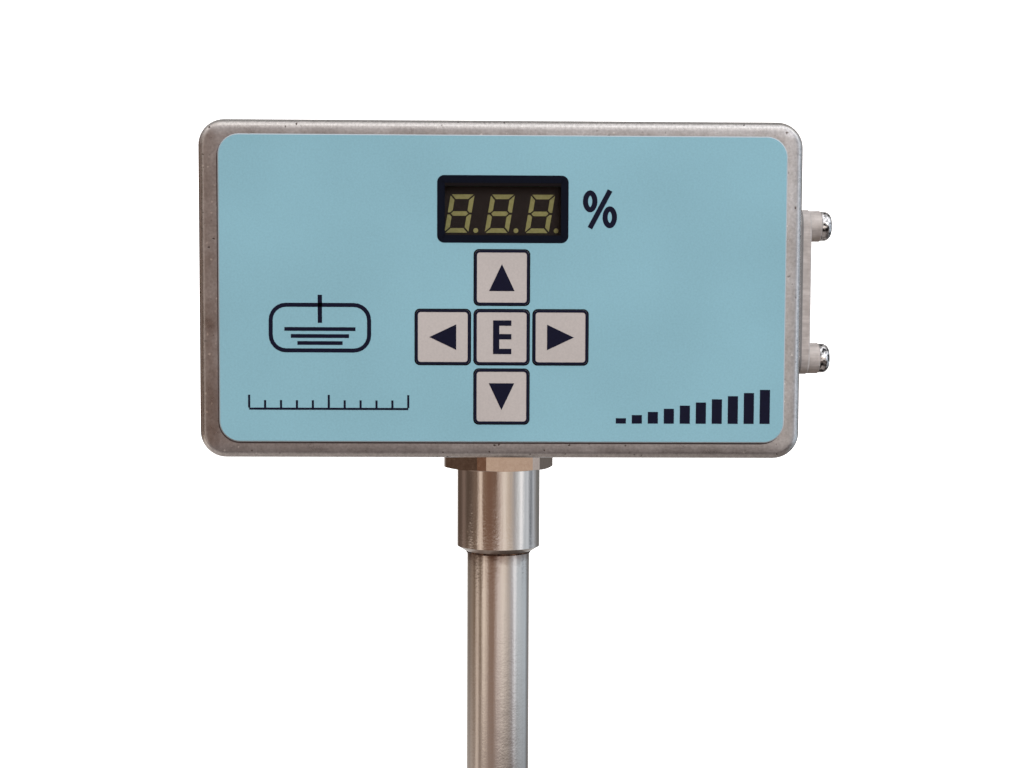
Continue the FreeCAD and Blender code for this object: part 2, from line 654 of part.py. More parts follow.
def make_lid():
    """Flat lid with locating ribs, countersunk screw holes and blind holes for the battery holder."""
    body = plate("rear_lid", RIM_WIDTH, RIM_HEIGHT, d.lid_thickness, RIM_RADIUS, 0, LID_FRONT, BOX_MIDDLE)
    dress(body, "Fillet", d.lid_fillet, lies_at("y", d.lid_thickness.value))
    rib_x = CAVITY_WIDTH / 2 - d.lid_rib_clearance - d.lid_rib_width / 2
    rib_z = CAVITY_HEIGHT / 2 - d.lid_rib_clearance - d.lid_rib_width / 2
    long_rib = CAVITY_WIDTH - 2 * d.lid_rib_margin
    short_rib = CAVITY_HEIGHT - 2 * d.lid_rib_margin
    for side in (1, -1):
        across = sketch_on(body, "XZ_Plane", 0, side * rib_z)
        pad(body, rectangle(across, long_rib, d.lid_rib_width), d.lid_rib_height)
        upright = sketch_on(body, "XZ_Plane", side * rib_x, 0)
        pad(body, rectangle(upright, d.lid_rib_width, short_rib), d.lid_rib_height)
    hole_radius = d.lid_screw_radius + d.screw_clearance
    for side_x, side_z in FOUR_CORNERS:
        hole = sketch_on(body, "XZ_Plane")
        pocket(body, circle(hole, hole_radius, side_x * PILLAR_X, side_z * PILLAR_Z), 2 * d.lid_thickness)

    at_back = lies_at("y", d.lid_thickness.value)

    def screw_hole_mouth(edge):
        if not at_back(edge) or edge.Curve.TypeId != "Part::GeomCircle":
            return False
        return edge.Curve.Radius < d.lid_screw_head.value

    dress(body, "Chamfer", d.lid_screw_head - d.lid_screw_radius, screw_hole_mouth)
    for side in (1, -1):
        hole = sketch_on(body, "XZ_Plane", 0, d.holder_rise)
        radius = d.holder_screw_radius + d.screw_clearance
        circle(hole, radius, side * d.holder_screw_spacing / 2, 0)
        pocket(body, hole, d.holder_screw_reach + d.hole_spare)

    ring = plate("lid_gasket", RIM_WIDTH - 2 * d.lid_gasket_inset, RIM_HEIGHT - 2 * d.lid_gasket_inset,
                 d.lid_gasket_thickness, RIM_RADIUS - d.lid_gasket_inset, 0, RIM, BOX_MIDDLE)
    cut_box(ring, CAVITY_WIDTH, CAVITY_HEIGHT, CAVITY_RADIUS, 2 * d.lid_gasket_thickness)

    screw = master_body("lid_screw_master")
    head_depth = d.lid_screw_head - d.lid_screw_radius
    spin(screw, [(0, 0), (d.lid_screw_head - d.screw_clearance, 0),
                 (d.lid_screw_radius, -head_depth + d.screw_clearance),
                 (d.lid_screw_radius, -d.lid_thickness - d.lid_screw_reach),
                 (0, -d.lid_thickness - d.lid_screw_reach)])
    cross_recess(screw, 0, d.lid_screw_head, head_depth)
    lid_back = LID_FRONT + d.lid_thickness
    places = [(x * PILLAR_X, lid_back, BOX_MIDDLE + z * PILLAR_Z) for x, z in FOUR_CORNERS]
    copies("lid_screws", screw, places, axis=(0, 1, 0))


def make_keypad():
    """Three film layers, five keys in openings of the front layer, and a snap dome under each key."""
    inset = 2 * d.layer_inset
    inner = (d.label_width - inset, d.label_height - inset)
    inner_radius = d.label_radius - d.layer_inset
    middle = d.label_right
    window_u = d.window_right - middle
    window_v = WINDOW_MIDDLE - LABEL_MIDDLE
    step = 2 * d.window_step

    circuit = plate("keypad_circuit", *inner, d.circuit_thickness, inner_radius,
                    middle, CIRCUIT_FACE, LABEL_MIDDLE)
    tail = sketch_on(circuit, "XZ_Plane", -d.tail_left - middle, TAIL_MIDDLE - LABEL_MIDDLE)
    rectangle(tail, d.tail_width, d.circuit_thickness)
    pad(circuit, tail, d.circuit_thickness + d.tail_length, reverse=True)

    spacer = plate("keypad_spacer", *inner, d.spacer_thickness, inner_radius,
                   middle, SPACER_FACE, LABEL_MIDDLE)
    overlay = plate("keypad_overlay", d.label_width, d.label_height, d.overlay_thickness, d.label_radius,
                    middle, OVERLAY_FACE, LABEL_MIDDLE)
    dress(overlay, "Chamfer", d.overlay_bevel, lies_at("y", 0))
    cut_box(overlay, d.window_width, d.window_height, d.window_radius, 2 * d.overlay_thickness,
            window_u, window_v)
    for layer, thickness in ((circuit, d.circuit_thickness), (spacer, d.spacer_thickness)):
        cut_box(layer, d.window_width - step, d.window_height - step, d.window_radius, 2 * thickness,
                window_u, window_v)

    opening = d.key_size + 2 * d.key_gap
    key_front = OVERLAY_FACE - d.key_proud
    rise = d.spacer_thickness - d.dome_clearance
    hollow = rise - d.dome_sheet
    hollow_rim = d.dome_top + (d.dome_radius - d.dome_top) * hollow / rise
    dome_rooms = sketch_on(spacer, "XZ_Plane")
    for name, (column, line) in KEYS.items():
        x, z = key_place(column, line)
        u, v = x - middle, z - LABEL_MIDDLE
        cut_box(overlay, opening, opening, d.key_radius, 2 * d.overlay_thickness, u, v)
        rectangle(dome_rooms, opening, opening, u, v)
        key = plate(f"key_{name}", d.key_size, d.key_size, SPACER_FACE - key_front, d.key_radius,
                    x, key_front, z)
        dress(key, "Chamfer", d.key_bevel, lies_at("y", 0))
        dome = new_body(f"dome_{name}", x, CIRCUIT_FACE, z)
        dome.Placement.Rotation = FreeCAD.Rotation(FreeCAD.Vector(0, 0, 1), FreeCAD.Vector(0, -1, 0))
        spin(dome, [(hollow_rim, 0), (d.dome_radius, 0), (d.dome_top, rise), (0, rise), (0, hollow),
                    (d.dome_top, hollow)])
    pocket(spacer, dome_rooms, 2 * d.spacer_thickness)


def bar_outlines():
    """Corners of a digit's seven bars from its centre: mitred outer bars and a middle bar with two points."""
    stroke = d.segment_stroke.value
    half = stroke / 2
    right = d.digit_width.value / 2
    top = d.digit_height.value / 2
    mitre = d.segment_gap.value / math.sqrt(2)
    level = [(mitre - right, top), (right - mitre, top), (right - stroke - mitre, top - stroke),
             (stroke + mitre - right, top - stroke)]
    upright = [(right, top - mitre), (right, mitre), (right - half, mitre), (right - stroke, half + mitre),
               (right - stroke, top - stroke - mitre)]
    point = right - half - mitre
    middle = [(point, 0), (point - half, half), (half - point, half), (-point, 0), (half - point, -half),
              (point - half, -half)]
    outlines = [middle]
    for up in (1, -1):
        outlines.append([(u, v * up) for u, v in level])
        for side in (1, -1):
            outlines.append([(u * side, v * up) for u, v in upright])
    return outlines


def segment_shapes():
    """Seven bars and a dot for each digit, all leaning to the right."""
    lean = math.tan(math.radians(d.digit_slant.value))
    depth = FreeCAD.Vector(0, d.segment_depth.value, 0)
    dot_level = (d.segment_stroke.value - d.digit_height.value) / 2
    shapes = []
    for column in (-1, 0, 1):
        middle = d.window_right - d.digits_left + column * d.digit_pitch

        def leaning(u, v):
            return spot(middle + u + v * lean, LED_FACE, LED_MIDDLE + v)

        for points in bar_outlines():
            corners = [leaning(u, v) for u, v in points]
            bar = Part.Face(Part.makePolygon(corners + corners[:1]))
            shapes.append(bar.extrude(depth))
        dot = leaning(d.dot_reach.value, dot_level)
        shapes.append(Part.makeCylinder(d.dot_radius.value, depth.Length, dot, depth))
    return shapes


def make_display():
    """Clear pane, display block with its light bars let into the face, and two rows of pins."""
    room = 2 * d.pane_clearance
    plate("display_window", d.window_width - room, d.window_height - room, d.pane_thickness,
          d.window_radius - d.pane_clearance, d.window_right, SPACER_FACE - d.pane_thickness, WINDOW_MIDDLE)
    segments = node(doc.addObject("Part::Feature", "led_segments"), "led_segments")
    segments.Shape = Part.makeCompound(segment_shapes())
    block = brick("led_block", d.led_width, d.led_depth, d.led_height, d.window_right, LED_FACE, LED_MIDDLE)
    node(cut("led_display", block, segments), "led_display")
    pins = []
    for x, z in pin_places():
        pins.append(brick("display_pin", d.pin_side, d.board_thickness + d.pin_stub, d.pin_side,
                          x, BOARD_FACE, z))
    gather("display_pins", pins)


def pin_places():
    """Two rows of six display pins."""
    for row in (0.5, -0.5):
        for column in range(6):
            yield (column - 2.5) * d.pin_pitch + d.window_right, LED_MIDDLE + row * d.pin_row_spacing


def make_board():
    """Circuit board on the cast bosses, with the parts that it carries."""
    board = plate("main_board", d.board_width, d.board_height, d.board_thickness, d.board_radius,
                  -d.board_left, BOARD_FACE, BOX_MIDDLE)
    holes = sketch_on(board, "XZ_Plane")
    for side_x, side_z in FOUR_CORNERS:
        circle(holes, d.board_screw_radius + d.screw_clearance, side_x * BOARD_HOLE_X, side_z * BOARD_HOLE_Z)
    pin_hole = d.pin_side + 2 * d.screw_clearance
    for x, z in pin_places():
        rectangle(holes, pin_hole, pin_hole, x + d.board_left, z - BOX_MIDDLE)
    pocket(board, holes, 2 * d.board_thickness)

    screw = master_body("board_screw_master")
    head = d.board_screw_head_height
    reach = d.board_thickness + d.board_screw_reach
    spin(screw, [(0, head), (d.board_screw_head, head), (d.board_screw_head, 0), (d.board_screw_radius, 0),
                 (d.board_screw_radius, -reach), (0, -reach)])
    places = []
    for side_x, side_z in FOUR_CORNERS:
        places.append((side_x * BOARD_HOLE_X - d.board_left, BOARD_BACK, BOX_MIDDLE + side_z * BOARD_HOLE_Z))
    copies("board_screws", screw, places, axis=(0, 1, 0))

    mouth = 2 * d.connector_mouth
    connector = brick("connector_block", d.connector_width, d.connector_depth, d.connector_height,
                      -d.tail_left, BOARD_FACE - d.connector_depth, TAIL_MIDDLE)
    slot = brick("connector_slot", d.tail_width + mouth, d.connector_slot, d.circuit_thickness + mouth,
                 -d.tail_left, BOARD_FACE - d.connector_depth, TAIL_MIDDLE)
    node(cut("tail_connector", connector, slot), "tail_connector")

    chip = plate("processor", d.chip_side, d.chip_side, d.chip_thickness, d.chip_radius,
                 d.chip_right, BOARD_BACK, BOX_MIDDLE + d.chip_rise)
    dress(chip, "Chamfer", d.chip_bevel, lies_at("y", d.chip_thickness.value))

    screen = plate("measuring_shield", d.shield_width, d.shield_height, d.shield_depth, d.shield_radius,
                   d.shield_right, BOARD_BACK, BOX_MIDDLE - d.shield_drop)
    thin = 2 * d.shield_sheet
    cut_box(screen, d.shield_width - thin, d.shield_height - thin, d.shield_radius - d.shield_sheet,
            d.shield_depth - d.shield_sheet)

    can = rod("power_capacitor", d.capacitor_radius, d.capacitor_length, -d.capacitor_left, BOARD_BACK,
              BOX_MIDDLE - d.capacitor_drop, axis=(0, 1, 0))
    node(can, "power_capacitor")


def make_terminals():
    """Screw terminals for the probe lead and the battery leads, and the service header."""
    sense = brick("sense_terminal", d.terminal_width, d.terminal_depth, d.terminal_height,
                  0, BOARD_BACK, BOX_MIDDLE - d.sense_terminal_drop)
    node(sense, "sense_terminal")
    battery = brick("battery_terminal", d.terminal_height, d.terminal_depth,
                    d.terminal_width + d.battery_terminal_pitch,
                    -d.battery_terminal_left, BOARD_BACK, BOX_MIDDLE + d.holder_rise)
    node(battery, "battery_terminal")
    header_x = d.board_width / 2 - d.board_left - d.header_width / 2
    header = brick("service_header", d.header_width, d.header_depth, d.header_length,
                   header_x, BOARD_BACK, PORT_MIDDLE)
    node(header, "service_header")
    pins = []
    for row in (0.5, -0.5):
        for column in (-2, -1, 0, 1, 2):
            pins.append(brick("header_pin", d.header_pin_length, d.header_pin_side, d.header_pin_side,
                              header_x + d.header_width / 2 + d.header_pin_length / 2,
                              BOARD_BACK + d.header_depth / 2 + row * d.pin_pitch - d.header_pin_side / 2,
                              PORT_MIDDLE + column * d.pin_pitch))
    gather("header_pins", pins)


def make_port():
    """Side cover with two raised bosses, its gasket and its two pan-head screws."""
    cover = new_body("port_cover", PORT_FACE, PORT_Y, PORT_MIDDLE)
    sheet_outline = sketch_on(cover, "YZ_Plane")
    pad(cover, rounded_box(sheet_outline, d.port_width, d.port_length, d.port_radius), d.port_thickness,
        reverse=True)
    dress(cover, "Chamfer", d.port_edge_bevel, lies_at("x", 0))
    gasket = new_body("port_gasket", PORT_LAND, PORT_Y, PORT_MIDDLE)
    ring = rounded_box(sketch_on(gasket, "YZ_Plane"), d.port_width, d.port_length, d.port_radius)
    pad(gasket, ring, d.port_gasket_thickness)
    window = sketch_on(gasket, "YZ_Plane")
    rounded_box(window, d.port_opening_width, d.port_opening_length, d.port_radius)
    pocket(gasket, window, 2 * d.port_gasket_thickness, reverse=True)
    hole_radius = d.port_screw_radius + d.screw_clearance
    for side in (1, -1):
        height = side * d.port_screw_spacing / 2
        boss = circle(sketch_on(cover, "YZ_Plane"), d.port_boss_radius, 0, height)
        pad(cover, boss, d.port_boss_height)
    dress(cover, "Chamfer", d.port_boss_bevel, lies_at("x", d.port_boss_height.value))
    for side in (1, -1):
        height = side * d.port_screw_spacing / 2
        hole = circle(sketch_on(cover, "YZ_Plane", lift=d.port_boss_height), hole_radius, 0, height)
        pocket(cover, hole, 2 * (d.port_boss_height + d.port_thickness))
        hole = circle(sketch_on(gasket, "YZ_Plane"), hole_radius, 0, height)
        pocket(gasket, hole, 2 * d.port_gasket_thickness, reverse=True)

    screw = master_body("port_screw_master")
    head = d.port_screw_head_height
    reach = d.port_boss_height + d.port_thickness + d.port_screw_reach
    spin(screw, [(0, head), (d.port_screw_head, head), (d.port_screw_head, 0), (d.port_screw_radius, 0),
                 (d.port_screw_radius, -reach), (0, -reach)])
    dress(screw, "Fillet", d.port_screw_round, lies_at("z", head.value))
    cross_recess(screw, head, d.port_screw_head, head)
    places = []
    for side in (1, -1):
        places.append((PORT_FACE + d.port_boss_height, PORT_Y, PORT_MIDDLE + side * d.port_screw_spacing / 2))
    copies("port_screws", screw, places, axis=(1, 0, 0))


def make_nut(label, z):
    """Thin hexagon nut with its corners cut flat and bevelled on both faces."""
    body = new_body(label, 0, 0, z)
    body.Placement.Rotation = FreeCAD.Rotation(FreeCAD.Vector(0, 0, 1), d.nut_turn.value)
    corner = d.nut_flats / math.sqrt(3)
    turns = [math.radians(60 * turn) for turn in range(7)]
    ways = [(round(math.cos(turn), 9), round(math.sin(turn), 9)) for turn in turns]
    near, far = corner - d.nut_corner_cut, d.nut_corner_cut
    points = []
    for (x, y), (next_x, next_y) in zip(ways, ways[1:]):
        points.append((near * x + far * next_x, near * y + far * next_y))
        points.append((far * x + near * next_x, far * y + near * next_y))
    pad(body, outline(sketch_on(body, "XY_Plane"), points), d.nut_height)
    bore = circle(sketch_on(body, "XY_Plane"), d.thread_radius + d.thread_clearance)
    pocket(body, bore, 2 * d.nut_height, reverse=True)
    land = d.nut_flats / 2
    outside = corner + d.nut_bevel
    rise = (outside - land) * (d.nut_bevel / (corner - land))
    spin(body, [(land, 0), (outside, 0), (outside, rise)], kind="Groove")
    top = d.nut_height
    spin(body, [(land, top), (outside, top - rise), (outside, top)], kind="Groove")


def make_stem():
    """Turned stem through the box floor, clamped between two nuts with a seal washer."""
    stem = new_body("probe_stem")
    socket = d.tube_radius - d.spigot_step + d.fit_clearance
    plug = d.insulator_radius + d.fit_clearance
    spin(stem, [(socket, 0), (d.tube_radius + d.weld_land, 0), (d.stem_radius, d.stem_bevel),
                (d.stem_radius, d.stem_length), (d.thread_radius, d.stem_length),
                (d.thread_radius, STEM_TOP - d.thread_bevel), (d.thread_radius - d.thread_bevel, STEM_TOP),
                (plug, STEM_TOP), (plug, INSULATOR_BOTTOM), (TUBE_BORE, INSULATOR_BOTTOM),
                (TUBE_BORE, d.spigot_length), (socket, d.spigot_length)])
    make_nut("outer_nut", d.stem_length)
    make_nut("inner_nut", INNER_SEAT)
    seal = new_body("stem_seal", 0, 0, SEAT)
    pad(seal, circle(sketch_on(seal, "XY_Plane"), d.seal_radius), d.seal_thickness, reverse=True)
    bore = circle(sketch_on(seal, "XY_Plane"), d.thread_radius + d.thread_clearance)
    pocket(seal, bore, 2 * d.seal_thickness)


def flow_ways(body, sketch, height):
    """Cut three equal ways for the liquid through a ring, the drawn one and two turned copies."""
    first = pocket(body, sketch, height, reverse=True)
    pattern = body.newObject("PartDesign::PolarPattern", f"{body.Name}_ways")
    pattern.Originals = [first]
    pattern.Axis = (sketch, ["N_Axis"])
    pattern.Angle = 360
    pattern.Occurrences = 3
    body.Tip = pattern
    doc.recompute()


def make_probe():
    """Vented tube with an insulated electrode down its middle: a pair of coaxial plates."""
    tube = new_body("probe_tube", 0, 0, TUBE_BOTTOM)
    pad(tube, circle(circle(sketch_on(tube, "XY_Plane"), d.tube_radius), TUBE_BORE), d.tube_length)
    spigot = circle(sketch_on(tube, "XY_Plane", lift=d.tube_length), d.tube_radius - d.spigot_step)
    pad(tube, circle(spigot, TUBE_BORE), d.spigot_length)
    vent = circle(sketch_on(tube, "XZ_Plane"), d.vent_radius, 0, d.tube_length - d.vent_drop)
    pocket(tube, vent, 2 * d.tube_radius)

    electrode = new_body("inner_electrode")
    pin_hole = d.feed_pin_radius + d.fit_clearance
    hole_bottom = INSULATOR_BOTTOM - d.electrode_thread
    spin(electrode, [(0, TUBE_BOTTOM), (d.electrode_radius, TUBE_BOTTOM),
                     (d.electrode_radius, INSULATOR_BOTTOM), (pin_hole, INSULATOR_BOTTOM),
                     (pin_hole, hole_bottom), (0, hole_bottom)])

    ring = master_body("spacer_master")
    snug = TUBE_BORE - d.fit_clearance
    eye = d.electrode_radius + d.fit_clearance
    pad(ring, circle(circle(sketch_on(ring, "XY_Plane"), snug), eye), d.spacer_height)
    flat_cut = rectangle(sketch_on(ring, "XY_Plane"), d.spacer_flat, 2 * snug, snug - d.spacer_flat / 2, 0)
    flow_ways(ring, flat_cut, d.spacer_height)
    places = [(0, 0, -step * d.spacer_pitch) for step in (1, 2, 3)]
    copies("electrode_spacers", ring, places)

    guide = new_body("end_guide", 0, 0, TUBE_BOTTOM)
    flange = d.tube_radius - d.guide_step
    spin(guide, [(0, -d.guide_flange), (flange, -d.guide_flange), (flange, 0), (snug, 0),
                 (snug, d.guide_plug), (eye, d.guide_plug), (eye, 0), (0, 0)])
    hole = sketch_on(guide, "XY_Plane", lift=-d.guide_flange)
    flow_ways(guide, circle(hole, d.guide_hole_radius, (snug + eye) / 2, 0), d.guide_flange + d.guide_plug)

    insulator = new_body("feedthrough_insulator", 0, 0, STEM_TOP)
    spin(insulator, [(pin_hole, -d.insulator_depth), (d.insulator_radius, -d.insulator_depth),
                     (d.insulator_radius, 0), (d.insulator_flange_radius, 0),
                     (d.insulator_flange_radius, d.insulator_flange), (pin_hole, d.insulator_flange)])
    pin = new_body("feedthrough_pin", 0, 0, STEM_TOP + d.insulator_flange)
    foot = -d.insulator_flange - d.insulator_depth - d.electrode_thread
    collar = d.feed_pin_collar_height
    spin(pin, [(0, foot), (d.feed_pin_radius, foot), (d.feed_pin_radius, 0), (d.feed_pin_collar, 0),
               (d.feed_pin_collar, collar), (d.feed_pin_radius, collar),
               (d.feed_pin_radius, collar + d.feed_pin_stub), (0, collar + d.feed_pin_stub)])


def make_batteries():
    """Two cells side by side in an open holder that is screwed to the lid, with leads to the board."""
    room = d.cell_length + d.nub_length + 2 * (d.contact_room + d.contact_sheet)
    holder_width = room + 2 * d.holder_wall
    cell_pitch = 2 * d.cell_radius + d.cell_clearance
    holder_height = 2 * cell_pitch + d.cell_clearance + 2 * d.holder_wall
    middle = BOX_MIDDLE + d.holder_rise
    floor_y = LID_FRONT - d.holder_wall
    holder_depth = d.holder_wall + d.holder_lip
    holder = plate("battery_holder", holder_width, holder_height, holder_depth, d.holder_wall,
                   0, LID_FRONT - holder_depth, middle)
    cut_box(holder, room, holder_height - 2 * d.holder_wall, d.holder_wall / 2, d.holder_lip)
    for side in (1, -1):
        hole = sketch_on(holder, "XZ_Plane", lift=-d.holder_lip)
        radius = d.holder_screw_radius + d.screw_clearance
        pocket(holder, circle(hole, radius, side * d.holder_screw_spacing / 2, 0), 2 * d.holder_wall)

    screw = master_body("holder_screw_master")
    reach = d.holder_wall + d.holder_screw_reach
    head = d.holder_screw_head_height
    spin(screw, [(0, head), (d.holder_screw_head, head), (d.holder_screw_head, 0),
                 (d.holder_screw_radius, 0), (d.holder_screw_radius, -reach), (0, -reach)])
    places = [(side * d.holder_screw_spacing / 2, floor_y, middle) for side in (1, -1)]
    copies("holder_screws", screw, places, axis=(0, -1, 0))

    cell_y = floor_y - d.cell_clearance - d.cell_radius
    contacts = []
    for name, side in (("upper", 1), ("lower", -1)):
        cell = new_body(f"battery_{name}")
        nub_top = d.cell_length + d.nub_length
        spin(cell, [(0, 0), (d.cell_radius, 0), (d.cell_radius, d.cell_length), (d.nub_radius, d.cell_length),
                    (d.nub_radius, nub_top), (0, nub_top)])
        cell.Placement.Rotation = FreeCAD.Rotation(FreeCAD.Vector(0, 0, 1), FreeCAD.Vector(side, 0, 0))
        height = middle + side * cell_pitch / 2
        put(cell, -side * nub_top / 2, cell_y, height)
        for end in (1, -1):
            wall_x = end * (room / 2 - d.contact_sheet / 2)
            sheet_plate = brick("contact_plate", d.contact_sheet, d.contact_side, d.contact_side,
                                wall_x, cell_y - d.contact_side / 2, height)
            bump = rod("contact_bump", d.contact_bump_radius, d.contact_room + d.contact_sheet / 2,
                       wall_x, cell_y, height, axis=(-end, 0, 0))
            contact = doc.addObject("Part::Fuse", "contact")
            contact.Base = sheet_plate
            contact.Tool = bump
            contacts.append(contact)
    gather("battery_contacts", contacts)


def flat_lead(label, width, lean, start, corner, end):
    """A flat lead of two straight runs and the arc between them; lean is the way of its width."""
    radius = d.lead_bend.value
    into = (corner - start).normalize()
    away = (end - corner).normalize()
    arc_start = corner - into * radius
    arc_end = corner + away * radius
    centre = arc_start + away * radius
    arc_middle = centre + (corner - centre).normalize() * radius
    path = Part.Wire([Part.LineSegment(start, arc_start).toShape(),
                      Part.Arc(arc_start, arc_middle, arc_end).toShape(),
                      Part.LineSegment(arc_end, end).toShape()])
    half_width = lean * (width.value / 2)
    half_thickness = away * (d.lead_thickness.value / 2)
    corners = [start + half_width + half_thickness, start - half_width + half_thickness,
               start - half_width - half_thickness, start + half_width - half_thickness]
    section = Part.makePolygon(corners + corners[:1])
    lead = node(doc.addObject("Part::Feature", label), label)
    lead.Shape = path.makePipeShell([section], True, False)


def make_leads():
    """The probe lead from the feedthrough pin, and the twin battery lead, both to the board's terminals."""
    pin_top = STEM_TOP + d.insulator_flange + d.feed_pin_collar_height + d.feed_pin_stub
    terminal_y = BOARD_BACK + d.terminal_depth
    sense_z = BOX_MIDDLE - d.sense_terminal_drop
    flat_lead("sense_lead", d.sense_lead_width, FreeCAD.Vector(1, 0, 0),
              spot(0, 0, pin_top), spot(0, 0, sense_z), spot(0, terminal_y, sense_z))
    room = d.cell_length + d.nub_length + 2 * (d.contact_room + d.contact_sheet)
    holder_end = -room / 2 - d.holder_wall
    holder_y = LID_FRONT - d.holder_wall - d.holder_lip / 2
    battery_z = BOX_MIDDLE + d.holder_rise
    battery_x = -d.battery_terminal_left
    flat_lead("battery_lead", d.battery_lead_width, FreeCAD.Vector(0, 0, 1),
              spot(holder_end, holder_y, battery_z), spot(battery_x, holder_y, battery_z),
              spot(battery_x, terminal_y, battery_z))


make_housing()
make_lid()
make_keypad()
make_display()
make_board()
make_terminals()
make_port()
make_stem()
make_probe()
make_batteries()
make_leads()

doc.recompute()
for obj in doc.Objects:
    if "Invalid" in obj.State or "Error" in obj.State:
        raise ValueError(f"{obj.Label} failed: {obj.State}")
for obj in nodes:
    if obj.Shape.isNull() or not obj.Shape.isValid() or not obj.Shape.Solids:
        raise ValueError(f"{obj.Label} has no sound solid")

os.makedirs("parts", exist_ok=True)
for obj in nodes:
    obj.Shape.exportStep(f"parts/{obj.Label}.step")
print(len(nodes), "nodes written")
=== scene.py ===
import math

import bmesh
import bpy
from mathutils import Matrix, Vector


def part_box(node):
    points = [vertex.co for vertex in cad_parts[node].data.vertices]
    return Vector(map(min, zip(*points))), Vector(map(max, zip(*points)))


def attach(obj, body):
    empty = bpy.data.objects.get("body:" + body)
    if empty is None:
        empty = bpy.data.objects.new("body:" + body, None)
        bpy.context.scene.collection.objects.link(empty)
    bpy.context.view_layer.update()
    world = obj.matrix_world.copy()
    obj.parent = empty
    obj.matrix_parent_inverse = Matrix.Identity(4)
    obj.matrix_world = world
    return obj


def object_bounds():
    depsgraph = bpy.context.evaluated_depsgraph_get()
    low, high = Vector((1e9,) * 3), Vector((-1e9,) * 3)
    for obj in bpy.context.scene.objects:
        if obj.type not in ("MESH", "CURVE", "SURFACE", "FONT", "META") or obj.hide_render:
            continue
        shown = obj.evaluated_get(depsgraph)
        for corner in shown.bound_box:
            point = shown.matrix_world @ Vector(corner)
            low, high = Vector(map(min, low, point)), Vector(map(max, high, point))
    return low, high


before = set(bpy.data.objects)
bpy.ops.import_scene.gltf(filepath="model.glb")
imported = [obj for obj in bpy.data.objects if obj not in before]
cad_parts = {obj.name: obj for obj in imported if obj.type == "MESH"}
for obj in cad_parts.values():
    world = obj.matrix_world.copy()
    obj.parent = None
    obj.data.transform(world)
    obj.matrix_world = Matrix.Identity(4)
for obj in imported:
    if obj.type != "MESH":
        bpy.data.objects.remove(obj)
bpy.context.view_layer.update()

# A level gauge: a die-cast box with a printed film keypad, on a polished steel probe.
# Metres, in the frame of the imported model. Sizes below are in millimetres until MM scales them.
MM = 0.001
ORIGIN = Vector((0, 0, 0))
# A spot this close to a line counts as on it
NEARBY = 0.03 * MM

# Printed ink on the keypad and the pane
INK = 0.03 * MM
PANE_GAP = 0.05 * MM
WINDOW_BORDER = 1.13 * MM
WINDOW_BORDER_RADIUS = 1.3 * MM
WINDOW_LAP = 0.26 * MM
# Painted shadow: a dark line along the label's left and lower edge, where the label's shadow falls
LABEL_SHADOW_WIDTH = 0.2 * MM
LABEL_SHADOW_SHIFT = Vector((-0.16, 0, -0.16)) * MM
LABEL_SHADOW_THICKNESS = 0.05 * MM
LABEL_RADIUS = 3.9 * MM
# Painted shade in the display window: a black frame on the pane, deepest at the top, where the recess lies in
# shade
SHADE_FRAME_SIDE = 0.12 * MM
SHADE_FRAME_TOP = 0.8 * MM
SHADE_FRAME_FOOT = 0.3 * MM
KEY_BEVEL = 0.12 * MM
KEY_RADIUS = 0.9 * MM
KEY_BORDER = 0.4 * MM
ARROW_BASE = 4.75 * MM
ARROW_HEIGHT = 5.0 * MM
LETTER_WIDTH = 3.41 * MM
LETTER_HEIGHT = 6.28 * MM
LETTER_STEM = 1.16 * MM
LETTER_STROKE = 1.0 * MM
LETTER_RIGHT = 0.1 * MM
LETTER_MIDDLE_LIFT = 0.1 * MM
PERCENT_PLACE = Vector((18.02, 0, 0.07)) * MM
PERCENT_STEP = Vector((1.83, 0, -1.46)) * MM
PERCENT_WIDTH = 2.7 * MM
PERCENT_HEIGHT = 4.05 * MM
PERCENT_STROKE = 0.95 * MM
PERCENT_BAR = 7.9 * MM
PERCENT_LEAN = math.radians(28)

# Plain marks on the keypad, placed from its middle
VESSEL_PLACE = Vector((-34.0, 0, -7.2)) * MM
VESSEL_WIDTH = 19.0 * MM
VESSEL_HEIGHT = 9.2 * MM
VESSEL_RADIUS = 3.2 * MM
VESSEL_STROKE = 0.75 * MM
# Left, right, lower and upper edge of the three level lines and the dipping rod, from the vessel's middle
VESSEL_LINES = [
    (-6.6, 6.6, -0.6, 0.1),
    (-5.4, 5.4, -1.9, -1.2),
    (-4.2, 4.2, -3.2, -2.5),
    (-0.4, 0.4, 0.9, 6.1),
]
SCALE_PLACE = Vector((-47.2, 0, -22.5)) * MM
SCALE_PITCH = 2.96 * MM
SCALE_STEPS = 10
SCALE_STROKE = 0.4 * MM
SCALE_LONG = 2.4 * MM
SCALE_LONG_EVERY = 5
SCALE_SHORT = 1.4 * MM
LEVELS_PLACE = Vector((21.2, 0, -24.9)) * MM
LEVELS_PITCH = 3.0 * MM
LEVELS_COUNT = 10
LEVELS_WIDTH = 1.9 * MM
LEVELS_LOWEST = 1.0 * MM
LEVELS_RISE = 0.6 * MM

# Most values of a noise pattern lie between these two
NOISE_LOW = 0.3
NOISE_HIGH = 0.7

# The casting: the part of a normal along its nearest axis, on a flat wall and on a rounded edge
FLAT_WALL = 0.99
ROUNDED_EDGE = 0.9
# Its walls fall away a little towards their edges: from how far out of the box's middle, and how fast.
# Nothing falls away from front to back, so there the start lies out of reach.
CROWN_START = Vector((52.3, 1000.0, 28.2)) * MM
CROWN_FALL = 42.0
# Towards the upper edge, its brow, they fall away once more, faster, and further out are rubbed smoother and
# given a painted highlight
BROW_START = 28.6 * MM
BROW_FALL = 0.95e5
BROW_POWER = 4.0
BROW_RUB_HIGHLIGHT_START = 1.05 * MM
BROW_RUB_HIGHLIGHT_FULL = 1.85 * MM

# The film's faces, told apart by the depth part of their normals: front, then bevel, then cut edge
FILM_FRONT = -0.97
FILM_BEVEL = -0.9
FILM_BEVEL_END = -0.4
FILM_CUT = -0.2

